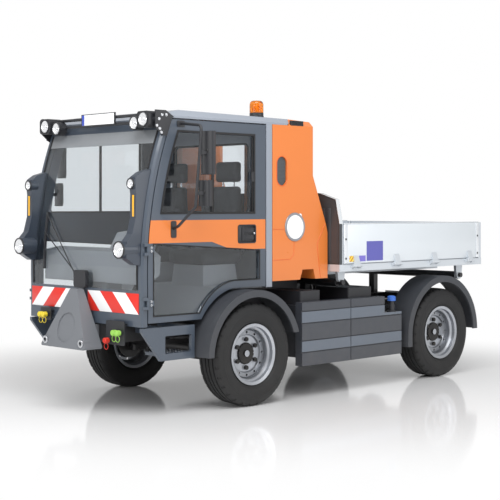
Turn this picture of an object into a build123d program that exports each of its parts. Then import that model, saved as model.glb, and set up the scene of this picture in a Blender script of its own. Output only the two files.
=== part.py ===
from build123d import *
import math
import os

# Compact utility truck: a narrow cab over the front axle and a three-way tipping drop-side bed.
# Millimetres. +X is forward, +Y is the vehicle's left, +Z is up from the ground.
# Places along the truck are given as distances ahead of the front axle.

os.makedirs("parts", exist_ok=True)

# Stance
FRONT_AXLE_X = 851.0
WHEELBASE = 2226.0
REAR_AXLE_X = FRONT_AXLE_X - WHEELBASE
TRACK = 1334.0
TYRE_RADIUS = 372.0
RUNNING_GAP = 0.05
SEAT_GAP = 0.3

# Tyre: half section as (radius below the crown, half width)
TYRE_WIDTH = 225.0
BEAD_RADIUS = 203.3
TYRE_HALF_SECTION = (
    (168.7, 78.0),
    (150.0, 84.0),
    (127.0, 100.0),
    (80.0, TYRE_WIDTH / 2),
    (34.0, 106.0),
    (12.0, 92.0),
    (2.0, 70.0),
    (0.0, 25.0),
)

# Rim: radius, distance outboard of the wheel's centre plane
RIM_SEAT_RADIUS = 203.0
RIM_FLANGE_RADIUS = 221.0
RIM_HALF_WIDTH = 93.0
RIM_WALL = 5.0
RIM_WELL_RADIUS = 186.0
DISC_FACE = 5.0
DISC_THICKNESS = 9.0
DISC_PAD_RADIUS = 131.0
DISC_RING_RISE = 16.0
VENT_CIRCLE_RADIUS = 155.0
VENT_RADIUS = 9.0
VENT_COUNT = 12
NUT_CIRCLE_RADIUS = 102.5
NUT_RADIUS = 17.0
NUT_HEIGHT = 20.0
NUT_COUNT = 6
HUB_RADIUS = 77.0
HUB_FACE = 16.0
HUB_CAP_RADIUS = 24.0
HUB_CAP_FACE = 26.0
HUB_TOOTH_COUNT = 18
HUB_TOOTH_DEPTH = 6.0

# Front axle, king pins and steering
SPINDLE_RADIUS = 30.0
KINGPIN_Y = TRACK / 2 - 77.0
KINGPIN_RADIUS = 17.0
BOSS_RADIUS = 30.0
BOSS_HALF_HEIGHT = 55.0
EAR_THICKNESS = 24.0
EAR_RADIUS = 34.0
BACKPLATE_RADIUS = 140.0
BACKPLATE_THICKNESS = 8.0
BACKPLATE_Y = TRACK / 2 - 24.0
WEB_INNER_Y = KINGPIN_Y + 35.0
AXLE_BEAM_RADIUS = 40.0
ARM_REACH = 105.0
ARM_INSET = 35.0
TIE_ROD_RADIUS = 13.0
TIE_ROD_DROP = 0.3
TIE_EYE_RADIUS = 20.0
TIE_EYE_HEIGHT = 28.0

# Chassis frame
RAIL_TOP_Z = 640.0
RAIL_HEIGHT = 150.0
RAIL_OUTER_Y = 330.0
RAIL_WIDTH = 80.0
RAIL_WALL = 8.0
RAIL_FRONT_X = FRONT_AXLE_X + 929.0
RAIL_REAR_X = REAR_AXLE_X - 480.0
CROSS_TUBE_RADIUS = 38.0
RAIL_BOTTOM_Z = RAIL_TOP_Z - RAIL_HEIGHT
RAIL_INNER_Y = RAIL_OUTER_Y - RAIL_WIDTH
RAIL_MIDDLE_Y = RAIL_OUTER_Y - RAIL_WIDTH / 2
SPRING_REACH = 480.0
SPRING_THICKNESS = 34.0
SPRING_WIDTH = 60.0
SPRING_CAMBER = 30.0
SPRING_PAD_MARGIN = 20.0
REAR_AXLE_TUBE_RADIUS = 52.0
DIFFERENTIAL_RADIUS = 140.0
PROPSHAFT_RADIUS = 28.0

# Cab: the front is one long arc in side view, foot, middle and head
CAB_HALF_WIDTH = 655.0
CAB_FRONT_FOOT = (FRONT_AXLE_X + 950.0, 865.0)
CAB_FRONT_MIDDLE = (FRONT_AXLE_X + 909.7, 1450.0)
CAB_FRONT_HEAD = (FRONT_AXLE_X + 733.0, 2045.0)
APRON_BOTTOM_Z = 620.0
POST_DEPTH = 45.0
POST_WIDTH = 45.0
WINDSCREEN_THICKNESS = 6.0
WINDSCREEN_TOP_Z = 1962.0
APRON_THICKNESS = 20.0
CAB_FLOOR_Z = RAIL_TOP_Z
FLOOR_THICKNESS = 20.0
REAR_WALL_X = FRONT_AXLE_X - 295.0
REAR_WALL_THICKNESS = 25.0
REAR_WALL_BOTTOM_Z = 839.0
PILLAR_FRONT_X = FRONT_AXLE_X - 235.0
PILLAR_WIDTH = 50.0
FLOOR_HALF_WIDTH = CAB_HALF_WIDTH - PILLAR_WIDTH - SEAT_GAP
REAR_WINDOW_HALF_WIDTH = 430.0
REAR_WINDOW_BOTTOM_Z = 1386.0
REAR_WINDOW_TOP_Z = 1915.0
GLASS_THICKNESS = 6.0

# Roof
ROOF_BOTTOM_Z = CAB_FRONT_HEAD[1]
ROOF_TOP_Z = 2108.0
ROOF_SHOULDER = 64.0
ROOF_SIDE_HEIGHT = 15.0
ROOF_REAR_X = FRONT_AXLE_X - 507.0
ROOF_REAR_UNDERCUT = 51.0
ROOF_WALL = 22.0

# Doors
DOOR_THICKNESS = 40.0
DOOR_GAP = 8.0
DOOR_REAR_X = FRONT_AXLE_X - 225.0
DOOR_BOTTOM_Z = 644.0
DOOR_TOP_Z = 2036.0
DOOR_SILL_END_X = FRONT_AXLE_X + 411.0
DOOR_ARCH_Z = 848.0
DOOR_ARCH_X = FRONT_AXLE_X + 103.0
DOOR_ARCH_MIDDLE = (FRONT_AXLE_X + 300.0, 765.0)
DOOR_FRAME_WIDTH = 80.0
WINDOW_BOTTOM_Z = 1386.0
WINDOW_TOP_Z = 1960.0
WINDOW_REAR_X = FRONT_AXLE_X - 114.0
LOWER_GLASS_TOP_FRONT_Z = 1183.0
LOWER_GLASS_TOP_REAR_Z = 1117.0
LOWER_GLASS_BOTTOM_Z = 902.0
LOWER_GLASS_FOOT_Z = 688.0
LOWER_GLASS_FRONT_X = FRONT_AXLE_X + 852.0
LOWER_GLASS_REAR_X = FRONT_AXLE_X - 166.0
LOWER_GLASS_CURVE_TOP_X = FRONT_AXLE_X + 103.0
LOWER_GLASS_CURVE_MIDDLE = (FRONT_AXLE_X + 312.0, 820.0)
LOWER_GLASS_CURVE_FOOT_X = FRONT_AXLE_X + 430.0
DOOR_GLASS_INSET = 14.0
HINGE_X = FRONT_AXLE_X + 908.0
HINGE_Y = CAB_HALF_WIDTH + 13.0
HINGE_PIN_RADIUS = 7.0
HINGE_EYE_RADIUS = 12.0
HINGE_EYE_HEIGHT = 40.0
HINGE_HEIGHTS = (760.0, 1125.0)

# Mirrors, on their doors
MIRROR_Y = CAB_HALF_WIDTH + 192.0
MIRROR_ARM_RADIUS = 10.0
MIRROR_ARM_BEND = 34.0
MAIN_MIRROR = (FRONT_AXLE_X + 522.0, 1803.0)
MAIN_MIRROR_SIZE = (48.0, 108.0, 298.0)
WIDE_MIRROR = (FRONT_AXLE_X + 549.0, 1526.0)
WIDE_MIRROR_SIZE = (48.0, 100.0, 178.0)
MIRROR_CORNER = 22.0
MIRROR_TURN = 18.0

# Front lamps, roof lamps and beacon
HEADLAMP = (FRONT_AXLE_X + 1095.0, CAB_HALF_WIDTH - 71.0, 1145.0)
HEADLAMP_RADIUS = 60.0
TURN_LAMP = (FRONT_AXLE_X + 1006.0, CAB_HALF_WIDTH - 57.0, 1590.0)
TURN_LAMP_RADIUS = 38.0
POD_INNER_Y = CAB_HALF_WIDTH - 80.0
POD_OUTER_Y = CAB_HALF_WIDTH - 18.0
ROOF_LAMP = (FRONT_AXLE_X + 876.0, CAB_HALF_WIDTH - 83.0, 2030.0)
ROOF_LAMP_SIZE = (106.0, 128.0, 112.0)
WORK_LAMP = (FRONT_AXLE_X + 849.0, CAB_HALF_WIDTH - 202.0, 2010.0)
WORK_LAMP_RADIUS = 50.0
WORK_LAMP_DEPTH = 55.0
LAMP_BAR_RADIUS = 11.0
LAMP_BAR_X = FRONT_AXLE_X + 800.0
LAMP_BAR_HEIGHTS = (2018.0, 2068.0)
LAMP_BRACKET_THICKNESS = 8.0
BRACKET_CLEARANCE = 6.0
BRACKET_FOOT_Z = 1920.0
BRACKET_FOOT_LENGTH = 34.0
BRACKET_CHIN_Z = 1975.0
BRACKET_SHOULDER_Z = 2051.0
BRACKET_TOP_Z = 2093.0
BRACKET_TAIL_X = FRONT_AXLE_X + 672.0
BRACKET_CROWN_X = FRONT_AXLE_X + 746.0
BRACKET_FRONT_X = FRONT_AXLE_X + 840.0
BEACON_X = FRONT_AXLE_X - 336.0
BEACON_Y = 450.0
BEACON_RADIUS = 56.0
BEACON_BASE_HEIGHT = 34.0
BEACON_TOP_Z = 2234.0

# Inside the cab
SEAT_Y = 300.0
SEAT_WIDTH = 440.0
SEAT_X = FRONT_AXLE_X + 60.0
CUSHION_LENGTH = 440.0
CUSHION_THICKNESS = 110.0
CUSHION_BOTTOM_Z = 1010.0
BACKREST_THICKNESS = 110.0
BACKREST_TOP_Z = 1610.0
HEADREST_HEIGHT = 170.0
HEADREST_WIDTH = 260.0
DASH_FRONT_Z = 1120.0
DASH_HALF_WIDTH = CAB_HALF_WIDTH - 115.0
WHEEL_RIM_RADIUS = 190.0
WHEEL_RIM_TUBE = 13.0
STEERING_WHEEL_CENTRE = (FRONT_AXLE_X + 470.0, 1235.0)
STEERING_WHEEL_TILT = 32.0

# Cover towers and engine housing behind the cab
TOWER_FRONT_X = FRONT_AXLE_X - 300.0
TOWER_INNER_Y = 355.0
TOWER_TOP_Z = 2095.0
TOWER_REAR_TOP_Z = 2083.0
TOWER_STEP_X = FRONT_AXLE_X - 470.0
TOWER_SHOULDER = 52.0
TOWER_REAR_X = FRONT_AXLE_X - 742.0
TOWER_KINK_Z = 1671.0
TOWER_SLOPE = (FRONT_AXLE_X - 893.0, 1294.0)
TOWER_TAIL_X = FRONT_AXLE_X - 910.0
TOWER_BOTTOM_Z = 880.0
TOWER_NOTCH_TOP_Z = 955.0
SLOT_X = FRONT_AXLE_X - 399.0
SLOT_Z = 1700.0
SLOT_WIDTH = 104.0
SLOT_HEIGHT = 216.0
SLOT_DEPTH = 14.0
SIGN_X = FRONT_AXLE_X - 540.0
SIGN_Z = 1280.0
SIGN_RADIUS = 102.0
SIGN_THICKNESS = 4.0
HOUSING_TOP_Z = 1385.0
HOUSING_WALL = 18.0
HOUSING_SHOULDER_Z = 860.0
FILTER_BOX_TOP_Z = 1540.0
FILTER_BOX_LENGTH = 165.0
FIN_COUNT = 7
FIN_DEPTH = 8.0
ENGINE_LENGTH = 500.0
ENGINE_HALF_WIDTH = 200.0
ENGINE_BOTTOM_Z = 545.0
ENGINE_TOP_Z = 1150.0

# Fenders: inner radius, outer radius, height of the front end, height of the rear end
FENDER_OUTER_Y = TRACK / 2 + 123.0
FENDER_INNER_Y = TRACK / 2 - 101.0
FENDER_LIP = 18.0
FENDER_SKIN = 12.0
FRONT_FENDER = (412.0, 464.0, 383.0, 504.0)
REAR_FENDER = (426.0, 480.0, 285.0, 377.0)

# Side covers and lockers
COVER_FRONT_X = FRONT_AXLE_X - 499.0
COVER_STEP_X = REAR_AXLE_X + 761.0
COVER_REAR_X = REAR_AXLE_X + 545.0
COVER_TOP_Z = 716.0
COVER_STEP_Z = 584.0
COVER_BOTTOM_Z = 240.0
COVER_OUTER_Y = 770.0
COVER_THICKNESS = 70.0
COVER_SPLIT_X = FRONT_AXLE_X - 1054.0
COVER_GROOVE = 8.0
COVER_GROOVE_DEPTH = 10.0
COVER_STRIP_LEVELS = (342.0, 429.0, 560.0, 650.0)
LOCKER_BOTTOM_Z = 300.0
LOCKER_LID_Z = 690.0
LOCKER_TOP_Z = 795.0

# Cab steps
STEP_FRONT_X = FRONT_AXLE_X + 950.0
STEP_SLANT_X = FRONT_AXLE_X + 785.0
STEP_REAR_X = FRONT_AXLE_X + 476.0
STEP_TOP_Z = 612.0
STEP_BOTTOM_Z = 380.0
STEP_PANEL_THICKNESS = 26.0
STEP_DEPTH = 190.0
STEP_OPENING = (FRONT_AXLE_X + 505.0, FRONT_AXLE_X + 745.0, 428.0, 548.0)
STEP_CORNER = 8.0

# Implement coupling at the nose
COUPLING_TOP_X = FRONT_AXLE_X + 1034.0
COUPLING_FOOT_X = FRONT_AXLE_X + 1132.0
COUPLING_TOP_Z = 856.0
COUPLING_FOOT_Z = 448.0
COUPLING_TOP_HALF_WIDTH = 40.0
COUPLING_FOOT_HALF_WIDTH = 262.0
COUPLING_BACK_X = FRONT_AXLE_X + 975.0
COUPLING_PLATE = 14.0
COUPLING_BORE_RADIUS = 15.0
COUPLING_BORE_Y = 207.0
COUPLING_BORE_Z = 491.0
COUPLING_BOSS_RADIUS = 30.0
COUPLING_BOSS_LENGTH = 58.0
COUPLING_BOSS_X = FRONT_AXLE_X + 1069.0
POCKET_HALF_WIDTH = 95.0
POCKET_MIDDLE = -276.0
POCKET_HEIGHT = 210.0
POCKET_DEPTH = 7.0

# Wiper
WIPER_BACK_X = FRONT_AXLE_X + 953.2
WIPER_COVER_DEPTH = 30.0
WIPER_COVER_WIDTH = 140.0
WIPER_COVER_BOTTOM_Z = 862.0
WIPER_COVER_TOP_Z = 985.0
WIPER_ROD_RADIUS = 4.0
WIPER_BLADE_Y = -456.0
WIPER_BLADE_WIDTH = 18.0
WIPER_BLADE_DEPTH = 16.0
WIPER_BLADE_HEIGHTS = (980.0, 1395.0)

# Tipping bed
BED_FRONT_X = FRONT_AXLE_X - 925.0
BED_REAR_X = REAR_AXLE_X - 574.0
BED_FLOOR_Z = 985.0
BED_PLATE = 15.0
FLOOR_SHEET_RISE = 2.0
BED_RAIL_BOTTOM_Z = 930.0
BED_RAIL_WIDTH = 40.0
BED_HALF_WIDTH = 765.0
BEARER_BOTTOM_Z = 880.0
BEARER_WIDTH = 60.0
CROSS_MEMBER_WIDTH = 40.0
HEADBOARD_THICKNESS = 38.0
HEADBOARD_TOP_Z = 1537.0
HEADBOARD_SHOULDER_Z = 1488.0
HEADBOARD_SHOULDER_Y = 560.0
BOARD_TOP_Z = 1297.0
BOARD_WALL = 25.0
BOARD_RIB = 4.0
BOARD_PLANKS = 3
CORNER_POST = 40.0
BOARD_CLEARANCE = 6.0
BOARD_HINGE_DROP = 10.0
BOARD_HINGE_OUT = 20.0
BOARD_HINGE_RADIUS = 9.0
BOARD_EYE_RADIUS = 14.0
TIP_PIVOT_X = REAR_AXLE_X - 370.0
TIP_PIVOT_Z = 840.0
PIVOT_TUBE_RADIUS = 30.0
PIVOT_TUBE_HALF = 640.0
PIVOT_PIN_RADIUS = 20.0
PIVOT_PIN_LENGTH = 60.0
PIVOT_LUG_THICKNESS = 26.0
PIVOT_LUG_RADIUS = 36.0
PIVOT_LUG_GAP = 12.0
FRONT_STAND_X = FRONT_AXLE_X - 1045.0

# Tipping cylinder: barrel on a cross tube, three stages, eye under the bed
CYLINDER_FOOT = (REAR_AXLE_X + 626.0, 508.0)
CYLINDER_EYE = (REAR_AXLE_X + 726.0, 912.0)
BARREL_RADIUS = 66.0
STAGE_RADII = (54.0, 43.0, 32.0)
STAGE_GAP = 0.5
STAGE_FLOOR = 14.0
STAGE_RISE = 12.0
BARREL_START = -60.0
TRUNNION_RADIUS = 34.0
TRUNNION_END_Y = 92.0
TRUNNION_BORE_Y = 70.0
CYLINDER_TOP_CLEARANCE = 50.0
FOOT_PIN_RADIUS = 20.0
EYE_BORE_RADIUS = 25.5
EYE_RADIUS = 36.0
EYE_WIDTH = 56.0
BED_EYE_PIN_RADIUS = 7.0
EAR_GAP = 6.0
EAR_WALL = 14.0


def save(piece, name):
    """Label a finished piece and write it as its own file."""
    piece.part.label = name
    export_step(piece.part, f"parts/{name}.step")


def side_view(y=0.0):
    """Sketch plane at a distance to the left: local x is forward, local y is up."""
    return Plane.XZ.offset(-y)


def level(z):
    """Horizontal sketch plane at a height."""
    return Plane.XY.offset(z)


def front_view(x):
    """Sketch plane across the truck: local x is left, local y is up."""
    return Plane.YZ.offset(x)


def front_arc_x(z):
    """How far forward the cab's front arc is at a height."""
    (x1, z1), (x2, z2), (x3, z3) = CAB_FRONT_FOOT, CAB_FRONT_MIDDLE, CAB_FRONT_HEAD
    d = 2 * (x1 * (z2 - z3) + x2 * (z3 - z1) + x3 * (z1 - z2))
    s1, s2, s3 = x1**2 + z1**2, x2**2 + z2**2, x3**2 + z3**2
    centre_x = (s1 * (z2 - z3) + s2 * (z3 - z1) + s3 * (z1 - z2)) / d
    centre_z = (s1 * (x3 - x2) + s2 * (x1 - x3) + s3 * (x2 - x1)) / d
    radius = math.hypot(x1 - centre_x, z1 - centre_z)
    if z <= z1:
        return x1
    return centre_x + math.sqrt(radius**2 - (z - centre_z) ** 2)


def arc_ends(low, high, setback):
    """Three points of the front arc between two heights, set back by a distance."""
    middle = (low + high) / 2
    return [(front_arc_x(z) - setback, z) for z in (low, middle, high)]


# Wheels
CORNERS = (
    ("front_left", FRONT_AXLE_X, 1),
    ("front_right", FRONT_AXLE_X, -1),
    ("rear_left", REAR_AXLE_X, 1),
    ("rear_right", REAR_AXLE_X, -1),
)


def wheel_section(axle_x, side):
    """Half-section plane of a wheel: local x is the radius, local y points outboard."""
    centre = (axle_x, side * TRACK / 2, TYRE_RADIUS)
    return Plane(origin=centre, x_dir=(0, 0, 1), z_dir=(-side, 0, 0))


def wheel_face(axle_x, side, out):
    """Plane across a wheel's axis, facing outboard, at a distance from its centre plane."""
    centre = (axle_x, side * (TRACK / 2 + out), TYRE_RADIUS)
    return Plane(origin=centre, x_dir=(1, 0, 0), z_dir=(0, side, 0))


def wheel_axis(axle_x):
    return Axis((axle_x, 0, TYRE_RADIUS), (0, 1, 0))


outer_half = [(TYRE_RADIUS - below, half) for below, half in TYRE_HALF_SECTION]
tyre_outline = outer_half + [(radius, -half) for radius, half in reversed(outer_half)]

rim_outer = [
    (RIM_FLANGE_RADIUS, RIM_HALF_WIDTH),
    (RIM_FLANGE_RADIUS, RIM_HALF_WIDTH - RIM_WALL),
    (RIM_SEAT_RADIUS, RIM_HALF_WIDTH - 2 * RIM_WALL),
    (RIM_SEAT_RADIUS, RIM_HALF_WIDTH - 35),
    (RIM_WELL_RADIUS, RIM_HALF_WIDTH - 48),
    (RIM_WELL_RADIUS, 45 - RIM_HALF_WIDTH),
    (RIM_SEAT_RADIUS, 30 - RIM_HALF_WIDTH),
    (RIM_SEAT_RADIUS, 2 * RIM_WALL - RIM_HALF_WIDTH),
    (RIM_FLANGE_RADIUS, RIM_WALL - RIM_HALF_WIDTH),
    (RIM_FLANGE_RADIUS, -RIM_HALF_WIDTH),
]
rim_inner = [
    (RIM_SEAT_RADIUS - RIM_WALL, RIM_WALL - RIM_HALF_WIDTH),
    (RIM_SEAT_RADIUS - RIM_WALL, 30 - RIM_HALF_WIDTH),
    (RIM_WELL_RADIUS - RIM_WALL, 45 - RIM_HALF_WIDTH),
    (RIM_WELL_RADIUS - RIM_WALL, RIM_HALF_WIDTH - 48),
    (RIM_SEAT_RADIUS - RIM_WALL, RIM_HALF_WIDTH - 35),
    (RIM_SEAT_RADIUS - RIM_WALL, RIM_HALF_WIDTH - RIM_WALL),
]
disc_outline = [
    (SPINDLE_RADIUS + RUNNING_GAP, DISC_FACE - DISC_THICKNESS),
    (SPINDLE_RADIUS + RUNNING_GAP, DISC_FACE),
    (DISC_PAD_RADIUS, DISC_FACE),
    (DISC_PAD_RADIUS + 8, DISC_FACE + DISC_RING_RISE),
    (RIM_WELL_RADIUS - 18, DISC_FACE + DISC_RING_RISE),
    (RIM_WELL_RADIUS - RIM_WALL + 2, DISC_FACE + DISC_RING_RISE - 8),
    (RIM_WELL_RADIUS - RIM_WALL + 2, DISC_FACE + DISC_RING_RISE - 8 - DISC_THICKNESS),
    (RIM_WELL_RADIUS - 19, DISC_FACE + DISC_RING_RISE - DISC_THICKNESS),
    (DISC_PAD_RADIUS + 14, DISC_FACE + DISC_RING_RISE - DISC_THICKNESS),
    (DISC_PAD_RADIUS + 6, DISC_FACE - DISC_THICKNESS),
]

for corner, axle_x, side in CORNERS:
    with BuildPart() as tyre:
        with BuildSketch(wheel_section(axle_x, side)):
            with BuildLine():
                Polyline(*tyre_outline, close=True)
            make_face()
        revolve(axis=wheel_axis(axle_x))
    save(tyre, f"tyre_{corner}")

    with BuildPart() as rim:
        with BuildSketch(wheel_section(axle_x, side)):
            with BuildLine():
                Polyline(*rim_outer, *rim_inner, close=True)
            make_face()
        revolve(axis=wheel_axis(axle_x))
        with BuildSketch(wheel_section(axle_x, side)):
            with BuildLine():
                Polyline(*disc_outline, close=True)
            make_face()
        revolve(axis=wheel_axis(axle_x))
        with BuildSketch(wheel_face(axle_x, side, DISC_FACE + DISC_RING_RISE)):
            with PolarLocations(VENT_CIRCLE_RADIUS, VENT_COUNT):
                Circle(VENT_RADIUS)
        extrude(amount=-2 * DISC_RING_RISE, mode=Mode.SUBTRACT)
        with BuildSketch(wheel_face(axle_x, side, DISC_FACE)):
            with PolarLocations(NUT_CIRCLE_RADIUS, NUT_COUNT, start_angle=30):
                RegularPolygon(NUT_RADIUS, 6)
        extrude(amount=NUT_HEIGHT)
        with BuildSketch(wheel_face(axle_x, side, DISC_FACE)):
            Circle(HUB_RADIUS)
            with PolarLocations(HUB_RADIUS, HUB_TOOTH_COUNT):
                Rectangle(2 * HUB_TOOTH_DEPTH, HUB_TOOTH_DEPTH, mode=Mode.SUBTRACT)
        extrude(amount=HUB_FACE - DISC_FACE)
        with BuildSketch(wheel_face(axle_x, side, HUB_FACE)):
            Circle(HUB_CAP_RADIUS)
        extrude(amount=HUB_CAP_FACE - HUB_FACE)
        with BuildSketch(wheel_face(axle_x, side, DISC_FACE - DISC_THICKNESS)):
            Circle(HUB_RADIUS)
            Circle(SPINDLE_RADIUS + RUNNING_GAP, mode=Mode.SUBTRACT)
        extrude(amount=BACKPLATE_Y + SEAT_GAP - TRACK / 2 - DISC_FACE + DISC_THICKNESS)
    save(rim, f"rim_{corner}")

# Front axle: beam, king pin bosses and leaf springs
spring_top_z = RAIL_BOTTOM_Z - SEAT_GAP
spring_pad_height = spring_top_z - SPRING_CAMBER - SPRING_THICKNESS - SEAT_GAP - TYRE_RADIUS


def spring_outline(axle_x):
    """Side view of a leaf spring pack whose ends sit under the rails."""
    top = [
        (axle_x - SPRING_REACH, spring_top_z),
        (axle_x, spring_top_z - SPRING_CAMBER),
        (axle_x + SPRING_REACH, spring_top_z),
    ]
    low = [(x, z - SPRING_THICKNESS) for x, z in top]
    with BuildLine() as outline:
        ThreePointArc(*top)
        Line(top[2], low[2])
        ThreePointArc(*reversed(low))
        Line(low[0], top[0])
    return outline.line


with BuildPart() as front_axle:
    with BuildSketch(side_view(KINGPIN_Y - BOSS_RADIUS / 2)):
        with Locations((FRONT_AXLE_X, TYRE_RADIUS)):
            Circle(AXLE_BEAM_RADIUS)
    extrude(amount=2 * KINGPIN_Y - BOSS_RADIUS)
    with BuildSketch(level(TYRE_RADIUS - BOSS_HALF_HEIGHT)):
        with Locations((FRONT_AXLE_X, KINGPIN_Y), (FRONT_AXLE_X, -KINGPIN_Y)):
            Circle(BOSS_RADIUS)
    extrude(amount=2 * BOSS_HALF_HEIGHT)
    for spring_y in (RAIL_MIDDLE_Y + SPRING_WIDTH / 2, SPRING_WIDTH / 2 - RAIL_MIDDLE_Y):
        with BuildSketch(side_view(spring_y)):
            add(spring_outline(FRONT_AXLE_X))
            make_face()
        extrude(amount=SPRING_WIDTH)
    with BuildSketch(level(TYRE_RADIUS)):
        with Locations((FRONT_AXLE_X, RAIL_MIDDLE_Y), (FRONT_AXLE_X, -RAIL_MIDDLE_Y)):
            Rectangle(3 * AXLE_BEAM_RADIUS, SPRING_WIDTH + SPRING_PAD_MARGIN)
    extrude(amount=spring_pad_height)
    with BuildSketch(level(TYRE_RADIUS - BOSS_HALF_HEIGHT)):
        with Locations((FRONT_AXLE_X, KINGPIN_Y), (FRONT_AXLE_X, -KINGPIN_Y)):
            Circle(KINGPIN_RADIUS + RUNNING_GAP)
    extrude(amount=2 * BOSS_HALF_HEIGHT, mode=Mode.SUBTRACT)
save(front_axle, "front_axle")

# Steering knuckles: ears over and under the boss, pin, spindle and arm
ear_bottom_z = TYRE_RADIUS - BOSS_HALF_HEIGHT - SEAT_GAP - EAR_THICKNESS
ear_height = 2 * (BOSS_HALF_HEIGHT + SEAT_GAP + EAR_THICKNESS)
arm_end = (FRONT_AXLE_X - ARM_REACH, KINGPIN_Y - ARM_INSET)

with BuildPart() as knuckle_left:
    with BuildSketch(level(ear_bottom_z)):
        with Locations((FRONT_AXLE_X, KINGPIN_Y)):
            Circle(EAR_RADIUS)
        with BuildLine():
            Polyline(
                (FRONT_AXLE_X - EAR_RADIUS, KINGPIN_Y),
                (FRONT_AXLE_X + EAR_RADIUS, KINGPIN_Y),
                (FRONT_AXLE_X + EAR_RADIUS, BACKPLATE_Y),
                (FRONT_AXLE_X - EAR_RADIUS, BACKPLATE_Y),
                close=True,
            )
        make_face()
    extrude(amount=ear_height)
    with BuildSketch(level(TYRE_RADIUS - BOSS_HALF_HEIGHT - SEAT_GAP)):
        with BuildLine():
            Polyline(
                (FRONT_AXLE_X - 2 * EAR_RADIUS, KINGPIN_Y - 2 * EAR_RADIUS),
                (FRONT_AXLE_X + 2 * EAR_RADIUS, KINGPIN_Y - 2 * EAR_RADIUS),
                (FRONT_AXLE_X + 2 * EAR_RADIUS, WEB_INNER_Y),
                (FRONT_AXLE_X - 2 * EAR_RADIUS, WEB_INNER_Y),
                close=True,
            )
        make_face()
    extrude(amount=2 * (BOSS_HALF_HEIGHT + SEAT_GAP), mode=Mode.SUBTRACT)
    with BuildSketch(level(ear_bottom_z)):
        with Locations((FRONT_AXLE_X, KINGPIN_Y)):
            Circle(KINGPIN_RADIUS)
    extrude(amount=ear_height)
    with BuildSketch(wheel_face(FRONT_AXLE_X, 1, BACKPLATE_Y - BACKPLATE_THICKNESS - TRACK / 2)):
        Circle(BACKPLATE_RADIUS)
    extrude(amount=BACKPLATE_THICKNESS)
    with BuildSketch(wheel_face(FRONT_AXLE_X, 1, BACKPLATE_Y - TRACK / 2)):
        Circle(SPINDLE_RADIUS)
    extrude(amount=TRACK / 2 + DISC_FACE - SEAT_GAP - BACKPLATE_Y)
    with BuildSketch(level(ear_bottom_z)):
        with BuildLine():
            Polyline(
                (FRONT_AXLE_X - EAR_RADIUS + 4, KINGPIN_Y - 16),
                (FRONT_AXLE_X - EAR_RADIUS + 4, KINGPIN_Y + 22),
                (arm_end[0] + 4, arm_end[1] + 16),
                (arm_end[0] - 4, arm_end[1] - 16),
                close=True,
            )
        make_face()
        with Locations(arm_end):
            Circle(TIE_EYE_RADIUS)
    extrude(amount=EAR_THICKNESS)
save(knuckle_left, "knuckle_left")

with BuildPart() as knuckle_right:
    mirror(knuckle_left.part, about=Plane.XZ)
save(knuckle_right, "knuckle_right")

# Tie rod, hanging just under the steering arms
tie_eye_top_z = ear_bottom_z - TIE_ROD_DROP
with BuildPart() as tie_rod:
    with BuildSketch(level(tie_eye_top_z)):
        with Locations(arm_end, (arm_end[0], -arm_end[1])):
            Circle(TIE_EYE_RADIUS - 2)
    extrude(amount=-TIE_EYE_HEIGHT)
    with BuildSketch(side_view(arm_end[1])):
        with Locations((arm_end[0], tie_eye_top_z - TIE_EYE_HEIGHT / 2)):
            Circle(TIE_ROD_RADIUS)
    extrude(amount=2 * arm_end[1])
save(tie_rod, "tie_rod")

# Rear axle: tube, differential, spindles, leaf springs and propeller shaft
engine_rear_x = TOWER_FRONT_X - 60 - ENGINE_LENGTH
with BuildPart() as rear_axle:
    with BuildSketch(side_view(BACKPLATE_Y)):
        with Locations((REAR_AXLE_X, TYRE_RADIUS)):
            Circle(REAR_AXLE_TUBE_RADIUS)
    extrude(amount=2 * BACKPLATE_Y)
    for side in (1, -1):
        with BuildSketch(wheel_face(REAR_AXLE_X, side, BACKPLATE_Y - BACKPLATE_THICKNESS - TRACK / 2)):
            Circle(BACKPLATE_RADIUS)
        extrude(amount=BACKPLATE_THICKNESS)
        with BuildSketch(wheel_face(REAR_AXLE_X, side, BACKPLATE_Y - TRACK / 2)):
            Circle(SPINDLE_RADIUS)
        extrude(amount=TRACK / 2 + DISC_FACE - SEAT_GAP - BACKPLATE_Y)
    with Locations((REAR_AXLE_X, 0, TYRE_RADIUS)):
        Sphere(DIFFERENTIAL_RADIUS)
    for spring_y in (RAIL_MIDDLE_Y + SPRING_WIDTH / 2, SPRING_WIDTH / 2 - RAIL_MIDDLE_Y):
        with BuildSketch(side_view(spring_y)):
            add(spring_outline(REAR_AXLE_X))
            make_face()
        extrude(amount=SPRING_WIDTH)
    with BuildSketch(level(TYRE_RADIUS)):
        with Locations((REAR_AXLE_X, RAIL_MIDDLE_Y), (REAR_AXLE_X, -RAIL_MIDDLE_Y)):
            Rectangle(3 * AXLE_BEAM_RADIUS, SPRING_WIDTH + SPRING_PAD_MARGIN)
    extrude(amount=spring_pad_height)
    with BuildSketch(front_view(REAR_AXLE_X + DIFFERENTIAL_RADIUS + SEAT_GAP)):
        with Locations((0, TYRE_RADIUS)):
            Circle(PROPSHAFT_RADIUS)
    extrude(amount=engine_rear_x - REAR_AXLE_X - DIFFERENTIAL_RADIUS - SEAT_GAP)
save(rear_axle, "rear_axle")

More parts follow.
